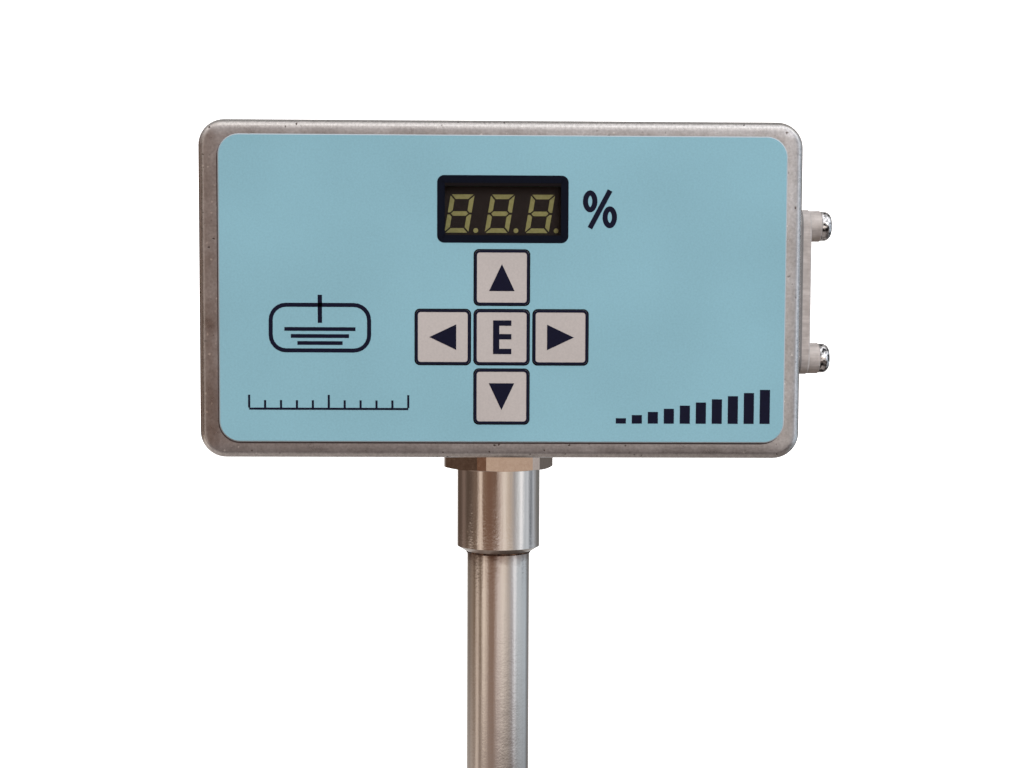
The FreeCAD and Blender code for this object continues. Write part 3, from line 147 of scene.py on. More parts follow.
# Weld between the stem and the tube, the raised part of each of its ripples, and its heat tint on the tube
WELD_RADIUS = 0.26 * MM
WELD_RIPPLE = 0.05 * MM
WELD_ROUGHNESS = 0.03 * MM
WELD_STEPS = 72
WELD_SEED = 4
CREST_START = 0.1
CREST_END = 0.6
HEAT_REACH = 3.0 * MM
HEAT_RAGGED = 5.0 * MM
HEAT_DEPTH = 0.85

# The photograph's camera
CAMERA_PLACE = Vector((-4.46, -347.5, 49.27)) * MM
CAMERA_YAW = math.radians(1.18)
CAMERA_PITCH = math.radians(4.0)
CAMERA_ROLL = math.radians(0.24)
CAMERA_LENS = 60.09
CAMERA_SHIFT = 0.044
CAMERA_NEAREST = 10 * MM
SENSOR = 36.0

# The stage: its radius and its sweep in metres, its distance below the object, and its own light
STAGE_RADIUS = 3.0
STAGE_SWEEP = 0.9
STAGE_GAP = 0.2 * MM
STAGE_GLOW = 0.9

# The room round the object: degrees from where the viewer stands, counted towards the viewer's
# right, and the light that comes from there
ROOM = [
    (-180, (0.62, 0.61, 0.60)), (-165, (0.42, 0.39, 0.36)), (-150, (0.12, 0.08, 0.06)),
    (-130, (0.13, 0.09, 0.07)), (-114, (0.25, 0.18, 0.15)), (-99, (0.12, 0.085, 0.066)),
    (-84, (0.13, 0.09, 0.07)), (-64, (0.24, 0.17, 0.13)), (-52, (0.96, 0.80, 0.68)),
    (-42, (0.26, 0.16, 0.11)), (-27, (0.23, 0.13, 0.09)), (-8, (0.24, 0.15, 0.11)),
    (3, (0.64, 0.53, 0.47)), (15, (0.97, 0.87, 0.78)), (30, (0.68, 0.58, 0.49)),
    (45, (0.46, 0.45, 0.46)), (56, (0.78, 0.82, 0.86)), (67, (1.22, 1.26, 1.32)),
    (78, (0.64, 0.70, 0.77)), (90, (0.74, 0.80, 0.88)), (101, (0.22, 0.25, 0.29)),
    (114, (0.56, 0.61, 0.68)), (130, (0.26, 0.26, 0.26)), (152, (0.16, 0.16, 0.16)),
    (165, (0.50, 0.49, 0.48)), (180, (0.62, 0.61, 0.60)),
]
# The same room lower down, where the tube mirrors it
ROOM_LOW = [
    (-180, (0.62, 0.61, 0.60)), (-160, (0.34, 0.30, 0.26)), (-135, (0.24, 0.20, 0.17)),
    (-118, (0.34, 0.27, 0.22)), (-98, (0.24, 0.17, 0.12)), (-84, (0.80, 0.67, 0.57)),
    (-71, (0.24, 0.17, 0.12)), (-56, (1.05, 0.91, 0.79)), (-44, (0.74, 0.62, 0.53)),
    (-33, (0.34, 0.24, 0.19)), (-19, (0.33, 0.22, 0.17)), (0, (0.86, 0.76, 0.72)),
    (18, (1.00, 0.91, 0.84)), (39, (0.62, 0.57, 0.53)), (53, (0.56, 0.55, 0.58)),
    (63, (1.10, 1.15, 1.24)), (75, (0.66, 0.74, 0.81)), (122, (0.57, 0.66, 0.75)),
    (140, (0.16, 0.16, 0.17)), (160, (0.50, 0.49, 0.48)), (180, (0.62, 0.61, 0.60)),
]
# Light from the ceiling, on the viewer's side and behind the object, and from the floor
CEILING_LEFT = (0.95, 0.87, 0.82, 1.0)
CEILING_RIGHT = (1.34, 1.34, 1.36, 1.0)
CEILING_BEHIND = (0.44, 0.42, 0.41, 1.0)
FLOOR_FAR = (0.25, 0.20, 0.18, 1.0)
FLOOR_NEAR = (0.30, 0.26, 0.24, 1.0)
FLOOR_BEHIND = (0.50, 0.48, 0.47, 1.0)
# Where each part of the room starts and where it is full, in a ray's upward part
LOW_WALLS_START = -0.138
LOW_WALLS_FULL = -0.152
CEILING_START = 0.06
CEILING_FULL = 0.66
FLOOR_START = -0.19
FLOOR_FULL = -0.3
FLOOR_NEAR_START = -0.4
FLOOR_NEAR_FULL = -0.75
# The same in a ray's part to the back, and in its turn away from the viewer
CEILING_BEHIND_START = -0.1
CEILING_BEHIND_FULL = 0.4
FLOOR_BEHIND_START = math.radians(60)
FLOOR_BEHIND_FULL = math.radians(95)
# A ray's part to either side, at which the ceiling and the floor have their side's light
ROOM_SIDE = 0.4
FLOOR_SHADE_LEFT = 1.4
FLOOR_SHADE_RIGHT = 0.6
# How much of the lower walls the floor behind the object mirrors
FLOOR_SHEEN = 0.6

# Sockets of a colour Mix that share their names with others: its share and its two colours
SHARE = 0
FIRST = 6
SECOND = 7


# Shader building

def linear(code):
    """Linear RGBA of an sRGB hex colour."""
    shares = [int(code[i:i + 2], 16) / 255 for i in (1, 3, 5)]
    return [s / 12.92 if s <= 0.04045 else ((s + 0.055) / 1.055) ** 2.4 for s in shares] + [1.0]


def feed(tree, made, sockets):
    """Fills a node's sockets with values or links; a node given to one stands for its first output in use."""
    for socket, value in dict(sockets).items():
        if isinstance(value, bpy.types.Node):
            value = next(output for output in value.outputs if output.enabled)
        if isinstance(value, bpy.types.NodeSocket):
            tree.links.new(value, made.inputs[socket])
        else:
            made.inputs[socket].default_value = value


def node(tree, kind, sockets=(), stops=(), **settings):
    """Adds a shader node with its settings and links; a ramp also takes its stops, its two ends first."""
    made = tree.nodes.new("ShaderNode" + kind)
    for name, value in settings.items():
        setattr(made, name, value)
    feed(tree, made, sockets)
    for number, (place, colour) in enumerate(stops):
        ramp = made.color_ramp.elements
        # a new ramp has two stops of its own
        stop = ramp[number] if number < 2 else ramp.new(place)
        stop.position = place
        stop.color = colour
    return made


def per_mm(size):
    """Texture scale that gives a pattern of this size in millimetres."""
    return 1 / (size * MM)


def begin_finish(name):
    """A new material: its node tree, its surface shader and its Object coordinates."""
    finish = bpy.data.materials.new(name)
    finish.use_nodes = True
    tree = finish.node_tree
    tree.nodes.clear()
    surface = node(tree, "BsdfPrincipled")
    node(tree, "OutputMaterial", {"Surface": surface})
    place = node(tree, "TexCoord").outputs["Object"]
    return finish, tree, surface, place


# Finishes

def cast_aluminium():
    """Pressure die-cast aluminium, tumbled: a dull grey skin with flow clouds, fine grain, dark pores and
    small bright nicks, smoother from rubbing along its rounded edges and its brow, which carry a painted
    highlight."""
    finish, tree, surface, place = begin_finish("cast_aluminium_tumbled")
    flow = node(tree, "TexNoise", {"Vector": place, "Scale": per_mm(7), "Detail": 6, "Roughness": 0.65})
    # the grain of such a skin is about 0.1 mm; it is drawn coarser here so that it shows
    grain = node(tree, "TexNoise", {"Vector": place, "Scale": per_mm(0.55), "Detail": 3})
    drift = node(tree, "MapRange", {"Value": flow, "From Min": NOISE_LOW, "From Max": NOISE_HIGH})
    skin = node(tree, "Mix", {SHARE: drift, FIRST: linear("#AAA7A8"), SECOND: linear("#CBCACC")},
                data_type="RGBA")

    # rounded edges, where no part of the normal stands out
    facing = node(tree, "VectorMath", {0: node(tree, "TexCoord").outputs["Normal"]}, operation="ABSOLUTE")
    parts = node(tree, "SeparateXYZ", {"Vector": facing})
    side = node(tree, "Math", {0: parts.outputs["X"], 1: parts.outputs["Y"]}, operation="MAXIMUM")
    flat = node(tree, "Math", {0: side, 1: parts.outputs["Z"]}, operation="MAXIMUM")
    edge = node(tree, "MapRange", {"Value": flat, "From Min": FLAT_WALL, "From Max": ROUNDED_EDGE})

    # how far a spot lies outside the crown's start, and how far above the brow's
    low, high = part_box("housing")
    middle = Vector((0, 0, (low.z + high.z) / 2))
    offset = node(tree, "VectorMath", {0: place, 1: middle}, operation="SUBTRACT")
    reach = node(tree, "VectorMath", {0: offset}, operation="ABSOLUTE")
    beyond = node(tree, "VectorMath", {0: reach, 1: CROWN_START}, operation="SUBTRACT")
    margin = node(tree, "VectorMath", {0: beyond, 1: ORIGIN}, operation="MAXIMUM")
    height = node(tree, "SeparateXYZ", {"Vector": offset})
    above = node(tree, "Math", {0: height.outputs["Z"], 1: BROW_START}, operation="SUBTRACT")
    over = node(tree, "Math", {0: above, 1: 0.0}, operation="MAXIMUM")

    # rubbed edges, and the rubbed brow on the walls that face to the front or the back: smoother, with a
    # painted highlight
    brow = node(tree, "MapRange", {"Value": over, "From Min": BROW_RUB_HIGHLIGHT_START, "From Max": BROW_RUB_HIGHLIGHT_FULL})
    ahead = node(tree, "MapRange", {"Value": parts.outputs["Y"],
                                    "From Min": ROUNDED_EDGE, "From Max": FLAT_WALL})
    band = node(tree, "Math", {0: brow, 1: ahead}, operation="MULTIPLY")
    rub_and_highlight = node(tree, "Math", {0: edge, 1: band}, operation="MAXIMUM")
    # painted highlight: the rounded edges and the brow made brighter
    highlit = node(tree, "Mix", {SHARE: rub_and_highlight, FIRST: skin, SECOND: linear("#EAE8E7")}, data_type="RGBA")

    # grain, then pores that come in patches, then slanted nicks
    speckle = node(tree, "MapRange", {"Value": grain, "From Min": 0.32, "From Max": 0.68,
                                      "To Min": 0.8, "To Max": 1.04})
    grained = node(tree, "Mix", {SHARE: 1.0, FIRST: highlit, SECOND: speckle},
                   data_type="RGBA", blend_type="MULTIPLY")
    wander = node(tree, "VectorMath", {0: grain.outputs["Color"], 1: (0.6 * MM,) * 3, 2: place},
                  operation="MULTIPLY_ADD")
    pores = node(tree, "TexVoronoi", {"Vector": wander, "Scale": per_mm(1.7)})
    pit = node(tree, "MapRange", {"Value": pores, "From Min": 0.08, "From Max": 0.16,
                                  "To Min": 1.0, "To Max": 0.0})
    here = node(tree, "MapRange", {"Value": flow, "From Min": 0.46, "From Max": 0.56})
    sparse = node(tree, "Math", {0: pit, 1: here}, operation="MULTIPLY")
    pitted = node(tree, "Mix", {SHARE: sparse, FIRST: grained, SECOND: linear("#5E5552")}, data_type="RGBA")
    slant = node(tree, "Mapping", {"Vector": wander, "Rotation": (0.5, 0.6, 0.4), "Scale": (1, 0.35, 1)})
    knocks = node(tree, "TexVoronoi", {"Vector": slant, "Scale": per_mm(2.1)})
    nick = node(tree, "MapRange", {"Value": knocks, "From Min": 0.04, "From Max": 0.13,
                                   "To Min": 0.7, "To Max": 0.0})
    nicked = node(tree, "Mix", {SHARE: nick, FIRST: pitted, SECOND: linear("#F6F4F2")}, data_type="RGBA")

    # smoother where it is rubbed, uneven with the flow
    rough = node(tree, "MapRange", {"Value": rub_and_highlight, "To Min": 0.32, "To Max": 0.19})
    uneven = node(tree, "MapRange", {"Value": flow, "From Min": NOISE_LOW, "From Max": NOISE_HIGH,
                                     "To Min": -0.07, "To Max": 0.07})
    roughness = node(tree, "Math", {0: rough, 1: uneven}, operation="ADD")

    # the falling walls, with grain and pores on them
    squared = node(tree, "VectorMath", {0: margin, 1: margin}, operation="DOT_PRODUCT")
    steep = node(tree, "Math", {0: over, 1: BROW_POWER}, operation="POWER")
    fall = node(tree, "Math", {0: steep, 1: BROW_FALL, 2: squared}, operation="MULTIPLY_ADD")
    crown = node(tree, "Bump", {"Strength": 1.0, "Distance": CROWN_FALL, "Height": fall}, invert=True)
    dips = node(tree, "Math", {0: grain, 1: sparse}, operation="SUBTRACT")
    relief = node(tree, "Bump", {"Strength": 0.6, "Distance": 0.035 * MM, "Height": dips, "Normal": crown})
    feed(tree, surface, {
        "Base Color": nicked,
        "Metallic": 1.0,
        "Roughness": roughness,
        "Normal": relief,
    })
    return finish


def milled_aluminium():
    """Sawn and milled plate: pale warm grey with cutter lines across its edges."""
    finish, tree, surface, place = begin_finish("aluminium_milled")
    stretch = node(tree, "Mapping", {"Vector": place, "Scale": (0.12, 0.12, 1.0)})
    cuts = node(tree, "TexNoise", {"Vector": stretch, "Scale": per_mm(0.45), "Detail": 3})
    clouds = node(tree, "TexNoise", {"Vector": place, "Scale": per_mm(1.6), "Detail": 4})
    tone = node(tree, "Math", {0: cuts, 1: clouds}, operation="MULTIPLY")
    spread = node(tree, "MapRange", {"Value": tone, "From Min": 0.08, "From Max": 0.42})
    skin = node(tree, "Mix", {SHARE: spread, FIRST: linear("#B0A7A0"), SECOND: linear("#D8CFC8")},
                data_type="RGBA")
    rough = node(tree, "MapRange", {"Value": cuts, "From Min": NOISE_LOW, "From Max": NOISE_HIGH,
                                    "To Min": 0.46, "To Max": 0.62})
    relief = node(tree, "Bump", {"Strength": 0.5, "Distance": 0.03 * MM, "Height": cuts})
    feed(tree, surface, {
        "Base Color": skin,
        "Metallic": 0.45,
        "Roughness": rough,
        "Normal": relief,
    })
    return finish


def polished_steel(name, dark, light, rough, tinted):
    """Stainless steel, turned or drawn and then buffed: sharp upright reflections, faintly wavy from the
    buff. Below the weld the heat has left straw and brown clouds."""
    finish, tree, surface, place = begin_finish(name)
    drawn = node(tree, "Mapping", {"Vector": place, "Scale": (1.0, 1.0, 0.05)})
    lines = node(tree, "TexNoise", {"Vector": drawn, "Scale": per_mm(0.9), "Detail": 4})
    skin = node(tree, "Mix", {SHARE: lines, FIRST: linear(dark), SECOND: linear(light)}, data_type="RGBA")
    if tinted:
        smoke = node(tree, "TexNoise", {"Vector": place, "Scale": per_mm(2.4), "Detail": 3})
        level = node(tree, "SeparateXYZ", {"Vector": place})
        ragged = node(tree, "Math", {0: smoke, 1: HEAT_RAGGED, 2: -HEAT_RAGGED}, operation="MULTIPLY_ADD")
        above = node(tree, "Math", {0: level.outputs["Z"], 1: ragged}, operation="SUBTRACT")
        heat = node(tree, "MapRange", {"Value": above, "From Min": 0.0, "From Max": HEAT_REACH,
                                       "To Min": 0.0, "To Max": HEAT_DEPTH})
        skin = node(tree, "Mix", {SHARE: heat, FIRST: skin, SECOND: linear("#6A4C3C")}, data_type="RGBA")
    # drawn lines and a fine peel on top of the buff's waves
    waves = node(tree, "TexNoise", {"Vector": place, "Scale": per_mm(3.5), "Detail": 2})
    peel = node(tree, "TexNoise", {"Vector": place, "Scale": per_mm(0.45), "Detail": 2})
    streaks = node(tree, "Math", {0: lines, 1: 1.2, 2: waves}, operation="MULTIPLY_ADD")
    swell = node(tree, "Math", {0: peel, 1: 0.45, 2: streaks}, operation="MULTIPLY_ADD")
    roughness = node(tree, "MapRange", {"Value": lines, "From Min": NOISE_LOW, "From Max": NOISE_HIGH,
                                        "To Min": rough - 0.02, "To Max": rough + 0.03})
    relief = node(tree, "Bump", {"Strength": 0.4, "Distance": 0.05 * MM, "Height": swell})
    feed(tree, surface, {
        "Base Color": skin,
        "Metallic": 1.0,
        "Roughness": roughness,
        "Normal": relief,
    })
    return finish


def plated_metal(name, dark, light, rough, dent=0.015, spread=0.5):
    """Nickel, zinc or tin plate on turned metal: hard bright reflections, broken by fine handling marks.
    A narrow spread splits them into black and white areas, a painted reflection. Its dents are in
    millimetres."""
    finish, tree, surface, place = begin_finish(name)
    marks = node(tree, "TexNoise", {"Vector": place, "Scale": per_mm(0.7), "Detail": 4})
    # with a narrow spread these are black and white areas, a painted reflection
    tone_and_reflection = node(tree, "MapRange", {"Value": marks, "From Min": 0.5 - spread, "From Max": 0.5 + spread})
    skin = node(tree, "Mix", {SHARE: tone_and_reflection, FIRST: linear(dark), SECOND: linear(light)}, data_type="RGBA")
    roughness = node(tree, "MapRange", {"Value": marks, "From Min": NOISE_LOW, "From Max": 0.75,
                                        "To Min": rough - 0.03, "To Max": rough + 0.05})
    relief = node(tree, "Bump", {"Strength": 0.6, "Distance": dent * MM, "Height": marks})
    feed(tree, surface, {
        "Base Color": skin,
        "Metallic": 1.0,
        "Roughness": roughness,
        "Normal": relief,
    })
    return finish


def weld_scale():
    """Fused weld metal: brown and blue-black oxide over a rippled bead."""
    finish, tree, surface, place = begin_finish("weld_oxide")
    smoke = node(tree, "TexNoise", {"Vector": place, "Scale": per_mm(0.9), "Detail": 4})
    skin = node(tree, "ValToRGB", {"Fac": smoke}, stops=[
        (0.35, linear("#3A2820")), (0.65, linear("#94745F")), (0.55, linear("#60483B"))])
    roughness = node(tree, "MapRange", {"Value": smoke, "From Min": NOISE_LOW, "From Max": NOISE_HIGH,
                                        "To Min": 0.28, "To Max": 0.5})
    feed(tree, surface, {
        "Base Color": skin,
        "Metallic": 1.0,
        "Roughness": roughness,
    })
    return finish


def printed_film(name, colour, bevel, cut):
    """Polycarbonate film printed from behind: an even colour under a fine velvet grain,
    with another colour on its bevel and on its cut edge."""
    finish, tree, surface, place = begin_finish(name)
    # the velvet of such a film is about 0.05 mm; it is drawn coarser here so that it shows
    velvet = node(tree, "TexNoise", {"Vector": place, "Scale": per_mm(0.35), "Detail": 2})
    clouds = node(tree, "TexNoise", {"Vector": place, "Scale": per_mm(25), "Detail": 2})
    cast = node(tree, "Math", {0: velvet, 1: clouds}, operation="ADD")
    shade = node(tree, "MapRange", {"Value": cast, "From Min": 2 * NOISE_LOW, "From Max": 2 * NOISE_HIGH,
                                    "To Min": 0.91, "To Max": 1.08})
    tone = node(tree, "Mix", {SHARE: 1.0, FIRST: linear(colour), SECOND: shade},
                data_type="RGBA", blend_type="MULTIPLY")
    facing = node(tree, "SeparateXYZ", {"Vector": node(tree, "TexCoord").outputs["Normal"]})
    turned = node(tree, "MapRange", {"Value": facing.outputs["Y"],
                                     "From Min": FILM_FRONT, "From Max": FILM_BEVEL})
    film = node(tree, "Mix", {SHARE: turned, FIRST: tone, SECOND: linear(bevel)}, data_type="RGBA")
    aside = node(tree, "MapRange", {"Value": facing.outputs["Y"],
                                    "From Min": FILM_BEVEL_END, "From Max": FILM_CUT})
    edged = node(tree, "Mix", {SHARE: aside, FIRST: film, SECOND: linear(cut)}, data_type="RGBA")
    rough = node(tree, "MapRange", {"Value": velvet, "From Min": NOISE_LOW, "From Max": NOISE_HIGH,
                                    "To Min": 0.46, "To Max": 0.58})
    relief = node(tree, "Bump", {"Strength": 0.2, "Distance": 0.01 * MM, "Height": velvet})
    feed(tree, surface, {
        "Base Color": edged,
        "Roughness": rough,
        "Specular IOR Level": 0.3,
        "Normal": relief,
    })
    return finish


def soft_tone(name, dark, light, size, rough, gloss=0.5):
    """Moulded, potted, printed or coated material: one tone that drifts between two close colours,
    with its gloss uneven at the same size, in millimetres."""
    finish, tree, surface, place = begin_finish(name)
    drift = node(tree, "TexNoise", {"Vector": place, "Scale": per_mm(size), "Detail": 3})
    skin = node(tree, "Mix", {SHARE: drift, FIRST: linear(dark), SECOND: linear(light)}, data_type="RGBA")
    roughness = node(tree, "MapRange", {"Value": drift, "From Min": NOISE_LOW, "From Max": NOISE_HIGH,
                                        "To Min": rough - 0.05, "To Max": rough + 0.05})
    feed(tree, surface, {
        "Base Color": skin,
        "Roughness": roughness,
        "Specular IOR Level": gloss,
    })
    return finish


def clear_pane():
    """Smoked acrylic pane: it darkens what lies behind it, under a weak gloss and a haze of wiping marks."""
    finish, tree, surface, place = begin_finish("acrylic_smoked")
    haze = node(tree, "TexNoise", {"Vector": place, "Scale": per_mm(1.5), "Detail": 3})
    skin = node(tree, "Mix", {SHARE: haze, FIRST: linear("#090706"), SECOND: linear("#120D0C")},
                data_type="RGBA")
    feed(tree, surface, {
        "Base Color": skin,
        "Roughness": 0.2,
        "Specular IOR Level": 0.12,
        "Alpha": 0.12,
    })
    return finish


def circuit_board():
    """Glass-fibre board under green lacquer, with paler copper runs below it."""
    finish, tree, surface, place = begin_finish("glass_fibre_lacquered")
    runs = node(tree, "TexBrick", {"Vector": place, "Color1": linear("#1F5A34"), "Color2": linear("#184A2A"),
                                   "Mortar": linear("#3C7D4E"), "Scale": per_mm(6)})
    feed(tree, surface, {"Base Color": runs, "Roughness": 0.35})
    return finish


def dress(finish, *names):
    """Gives CAD nodes a finish."""
    for name in names:
        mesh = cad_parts[name].data
        mesh.materials.clear()
        mesh.materials.append(finish)


# Modelling by hand

def open_piece():
    """Opens the new piece for editing, all of it selected."""
    bpy.ops.object.transform_apply(location=True, rotation=True, scale=True)
    bpy.ops.object.mode_set(mode="EDIT")
    bpy.ops.mesh.select_all(action="SELECT")


def close_piece():
    """Ends the editing of the open piece."""
    bpy.ops.object.mode_set(mode="OBJECT")


def pick(kind, wanted):
    """Selects the open piece's faces, edges or vertices whose middle passes a test."""
    bpy.ops.mesh.select_all(action="DESELECT")
    bpy.ops.mesh.select_mode(type=kind)
    shape = bmesh.from_edit_mesh(bpy.context.object.data)
    group = {"VERT": shape.verts, "EDGE": shape.edges, "FACE": shape.faces}[kind]
    for element in group:
        corners = [element] if kind == "VERT" else element.verts
        middle = sum((c.co for c in corners), Vector()) / len(corners)
        element.select_set(wanted(middle))
    shape.select_flush_mode()
    bmesh.update_edit_mesh(bpy.context.object.data)


def flat_sheet(width, height, middle, lean=0.0):
    """A rectangle that faces the viewer, leaning to the right by an angle."""
    bpy.ops.object.select_all(action="DESELECT")
    bpy.ops.mesh.primitive_plane_add(size=1, location=middle, rotation=(math.pi / 2, lean, 0))
    bpy.context.object.scale = (width, height, 1)
    open_piece()


def flat_disc(width, height, middle, corners=32):
    """An oval, or a figure of a few corners with one on top, that faces the viewer."""
    bpy.ops.object.select_all(action="DESELECT")
    bpy.ops.mesh.primitive_circle_add(vertices=corners, radius=0.5, fill_type="NGON",
                                      location=middle, rotation=(math.pi / 2, 0, 0))
    bpy.context.object.scale = (width, height, 1)
    open_piece()


def hollow(stroke, aside=ORIGIN):
    """Leaves only a border of the open sheet, its opening moved aside."""
    bpy.ops.mesh.select_mode(type="FACE")
    bpy.ops.mesh.select_all(action="SELECT")
    bpy.ops.mesh.inset(thickness=stroke)
    bpy.ops.transform.translate(value=aside)
    bpy.ops.mesh.delete(type="FACE")


def rounded(radius):
    """Rounds the corners of the open sheet."""
    bpy.ops.mesh.bevel(affect="VERTICES", offset=radius, segments=6)


def join(pieces):
    """Makes one piece of several."""
    bpy.ops.object.select_all(action="DESELECT")
    for piece in pieces:
        piece.select_set(True)
    bpy.context.view_layer.objects.active = pieces[0]
    bpy.ops.object.join()


def give_thickness(thickness):
    """Thickens the sheets of the active piece towards the viewer."""
    bpy.ops.object.modifier_add(type="SOLIDIFY")
    solid = bpy.context.object.modifiers[-1]
    solid.thickness = thickness
    solid.offset = 1
    bpy.ops.object.modifier_apply(modifier=solid.name)


def settle(piece, name, finish, body):
    """Names a finished piece, gives it its finish and lets it move with a body."""
    piece.name = name
    piece.data.name = name
    piece.data.materials.clear()
    piece.data.materials.append(finish)
    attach(piece, body)


def twin(piece, move, turn=0.0):
    """A copy with its own mesh, turned clockwise about the viewer's line through the origin, then moved."""
    copy = piece.copy()
    copy.data = piece.data.copy()
    bpy.context.collection.objects.link(copy)
    copy.data.transform(Matrix.Translation(move) @ Matrix.Rotation(turn, 4, "Y"))
    return copy


def bars(places, level):
    """Upright rectangles, each given by its left, right, lower and upper edge."""
    made = []
    for left, right, low, high in places:
        flat_sheet(right - left, high - low, Vector(((left + right) / 2, level, (low + high) / 2)))
        close_piece()
        made.append(bpy.context.object)
    return made


def front_of(name):
    """Middle of a CAD node's front, and its width and height."""
    low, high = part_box(name)
    middle = Vector(((low.x + high.x) / 2, low.y, (low.z + high.z) / 2))
    return middle, high.x - low.x, high.z - low.z


# Printed marks

def print_window_border(ink):
    """The dark frame round the display window."""
    middle, width, height = front_of("display_window")
    middle.y = front_of("keypad_overlay")[0].y
    spread = 2 * (PANE_GAP + WINDOW_BORDER)
    flat_sheet(width + spread, height + spread, middle)
    rounded(WINDOW_BORDER_RADIUS)
    hollow(WINDOW_BORDER + WINDOW_LAP)
    close_piece()
    give_thickness(INK)
    settle(bpy.context.object, "window_border", ink, "gauge")


def paint_label_shadow(finish):
    """The label's shadow, painted as a dark line that shows along its left and lower edge."""
    middle, width, height = front_of("keypad_overlay")
    middle.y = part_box("housing")[0].y
    flat_sheet(width + 2 * LABEL_SHADOW_WIDTH, height + 2 * LABEL_SHADOW_WIDTH, middle + LABEL_SHADOW_SHIFT)
    rounded(LABEL_RADIUS + LABEL_SHADOW_WIDTH)
    hollow(LABEL_SHADOW_WIDTH, -LABEL_SHADOW_SHIFT)
    close_piece()
    give_thickness(LABEL_SHADOW_THICKNESS)
    settle(bpy.context.object, "keypad_painted_shadow", finish, "gauge")


def paint_window_shade(ink):
    """Painted shade: a black frame on the pane, deeper at the top, that stands in for the shade round the
    recessed display block and hides its edges.
    """
    middle, width, height = front_of("display_window")
    flat_sheet(width, height, middle)
    bpy.ops.mesh.inset(thickness=SHADE_FRAME_SIDE)
    inner = height / 2 - SHADE_FRAME_SIDE
    for side, depth in ((1, SHADE_FRAME_TOP), (-1, SHADE_FRAME_FOOT)):
        level = middle.z + side * inner

        def on_level(spot):
            return abs(spot.z - level) < NEARBY
        pick("EDGE", on_level)
        bpy.ops.transform.translate(value=(0, 0, side * (SHADE_FRAME_SIDE - depth)))

    def opening(spot):
        return abs(spot.x - middle.x) < SHADE_FRAME_SIDE and abs(spot.z - middle.z) < height / 4
    pick("FACE", opening)
    bpy.ops.mesh.delete(type="FACE")
    close_piece()
    give_thickness(INK)
    settle(bpy.context.object, "window_painted_shade", ink, "gauge")


def print_percent(ink):
    """The unit beside the display: two upright rings and a leaning bar."""
    middle = front_of("display_window")[0] + PERCENT_PLACE
    middle.y = front_of("keypad_overlay")[0].y
    marks = []
    for place in (middle - PERCENT_STEP, middle + PERCENT_STEP):
        flat_disc(PERCENT_WIDTH, PERCENT_HEIGHT, place)
        hollow(PERCENT_STROKE)
        close_piece()
        marks.append(bpy.context.object)
    flat_sheet(PERCENT_STROKE, PERCENT_BAR, middle, PERCENT_LEAN)
    close_piece()
    join(marks + [bpy.context.object])
    give_thickness(INK)
    settle(bpy.context.object, "percent_sign", ink, "gauge")


def print_keys(ink):
    """Each key's border and its arrow or letter."""
    middle, width, height = front_of("key_enter")
    flat_sheet(width - 2 * KEY_BEVEL, height - 2 * KEY_BEVEL, ORIGIN)
    rounded(KEY_RADIUS)
    hollow(KEY_BORDER)
    close_piece()
    give_thickness(INK)
    border = bpy.context.object
    # a triangle in a circle of diameter one is sin 60 degrees wide and three quarters high,
    # and the middle of its height lies a sixth of that height above the circle's
    flat_disc(ARROW_BASE / math.sin(math.pi / 3), ARROW_HEIGHT / 0.75, ORIGIN, corners=3)
    close_piece()
    give_thickness(INK)
    arrow = bpy.context.object
    arrow.data.transform(Matrix.Translation((0, 0, -ARROW_HEIGHT / 6)))
    turns = {"up": 0.0, "right": math.pi / 2, "down": math.pi, "left": -math.pi / 2}
    for side in ("up", "right", "down", "left", "enter"):
        place = front_of("key_" + side)[0]
        settle(twin(border, place), "key_border_" + side, ink, side + "_key")
        if side in turns:
            settle(twin(arrow, place, turns[side]), "key_arrow_" + side, ink, side + "_key")
    bpy.data.objects.remove(border)
    bpy.data.objects.remove(arrow)
    print_letter(ink, middle + Vector((LETTER_RIGHT, 0, 0)))


def print_letter(ink, middle):
    """The enter key's letter: a stem with three bars drawn out of it."""
    left = middle.x - LETTER_WIDTH / 2
    top = middle.z + LETTER_HEIGHT / 2
    bottom = middle.z - LETTER_HEIGHT / 2
    flat_sheet(LETTER_STEM, LETTER_HEIGHT, Vector((left + LETTER_STEM / 2, middle.y, middle.z)))
    waist = middle.z + LETTER_MIDDLE_LIFT
    foot_top = bottom + LETTER_STROKE
    waist_low = waist - LETTER_STROKE / 2
    waist_high = waist + LETTER_STROKE / 2
    head_low = top - LETTER_STROKE
    for step in (foot_top, waist_low, waist_high, head_low):
        bpy.ops.mesh.select_all(action="SELECT")
        bpy.ops.mesh.bisect(plane_co=(0, 0, step), plane_no=(0, 0, 1))

    def bar_end(spot):
        in_bar = spot.z < foot_top or waist_low < spot.z < waist_high or spot.z > head_low
        return in_bar and spot.x > left + LETTER_STEM - NEARBY
    pick("EDGE", bar_end)
    bpy.ops.mesh.extrude_region_move(TRANSFORM_OT_translate={"value": (LETTER_WIDTH - LETTER_STEM, 0, 0)})
    close_piece()
    give_thickness(INK)
    settle(bpy.context.object, "key_letter_enter", ink, "enter_key")


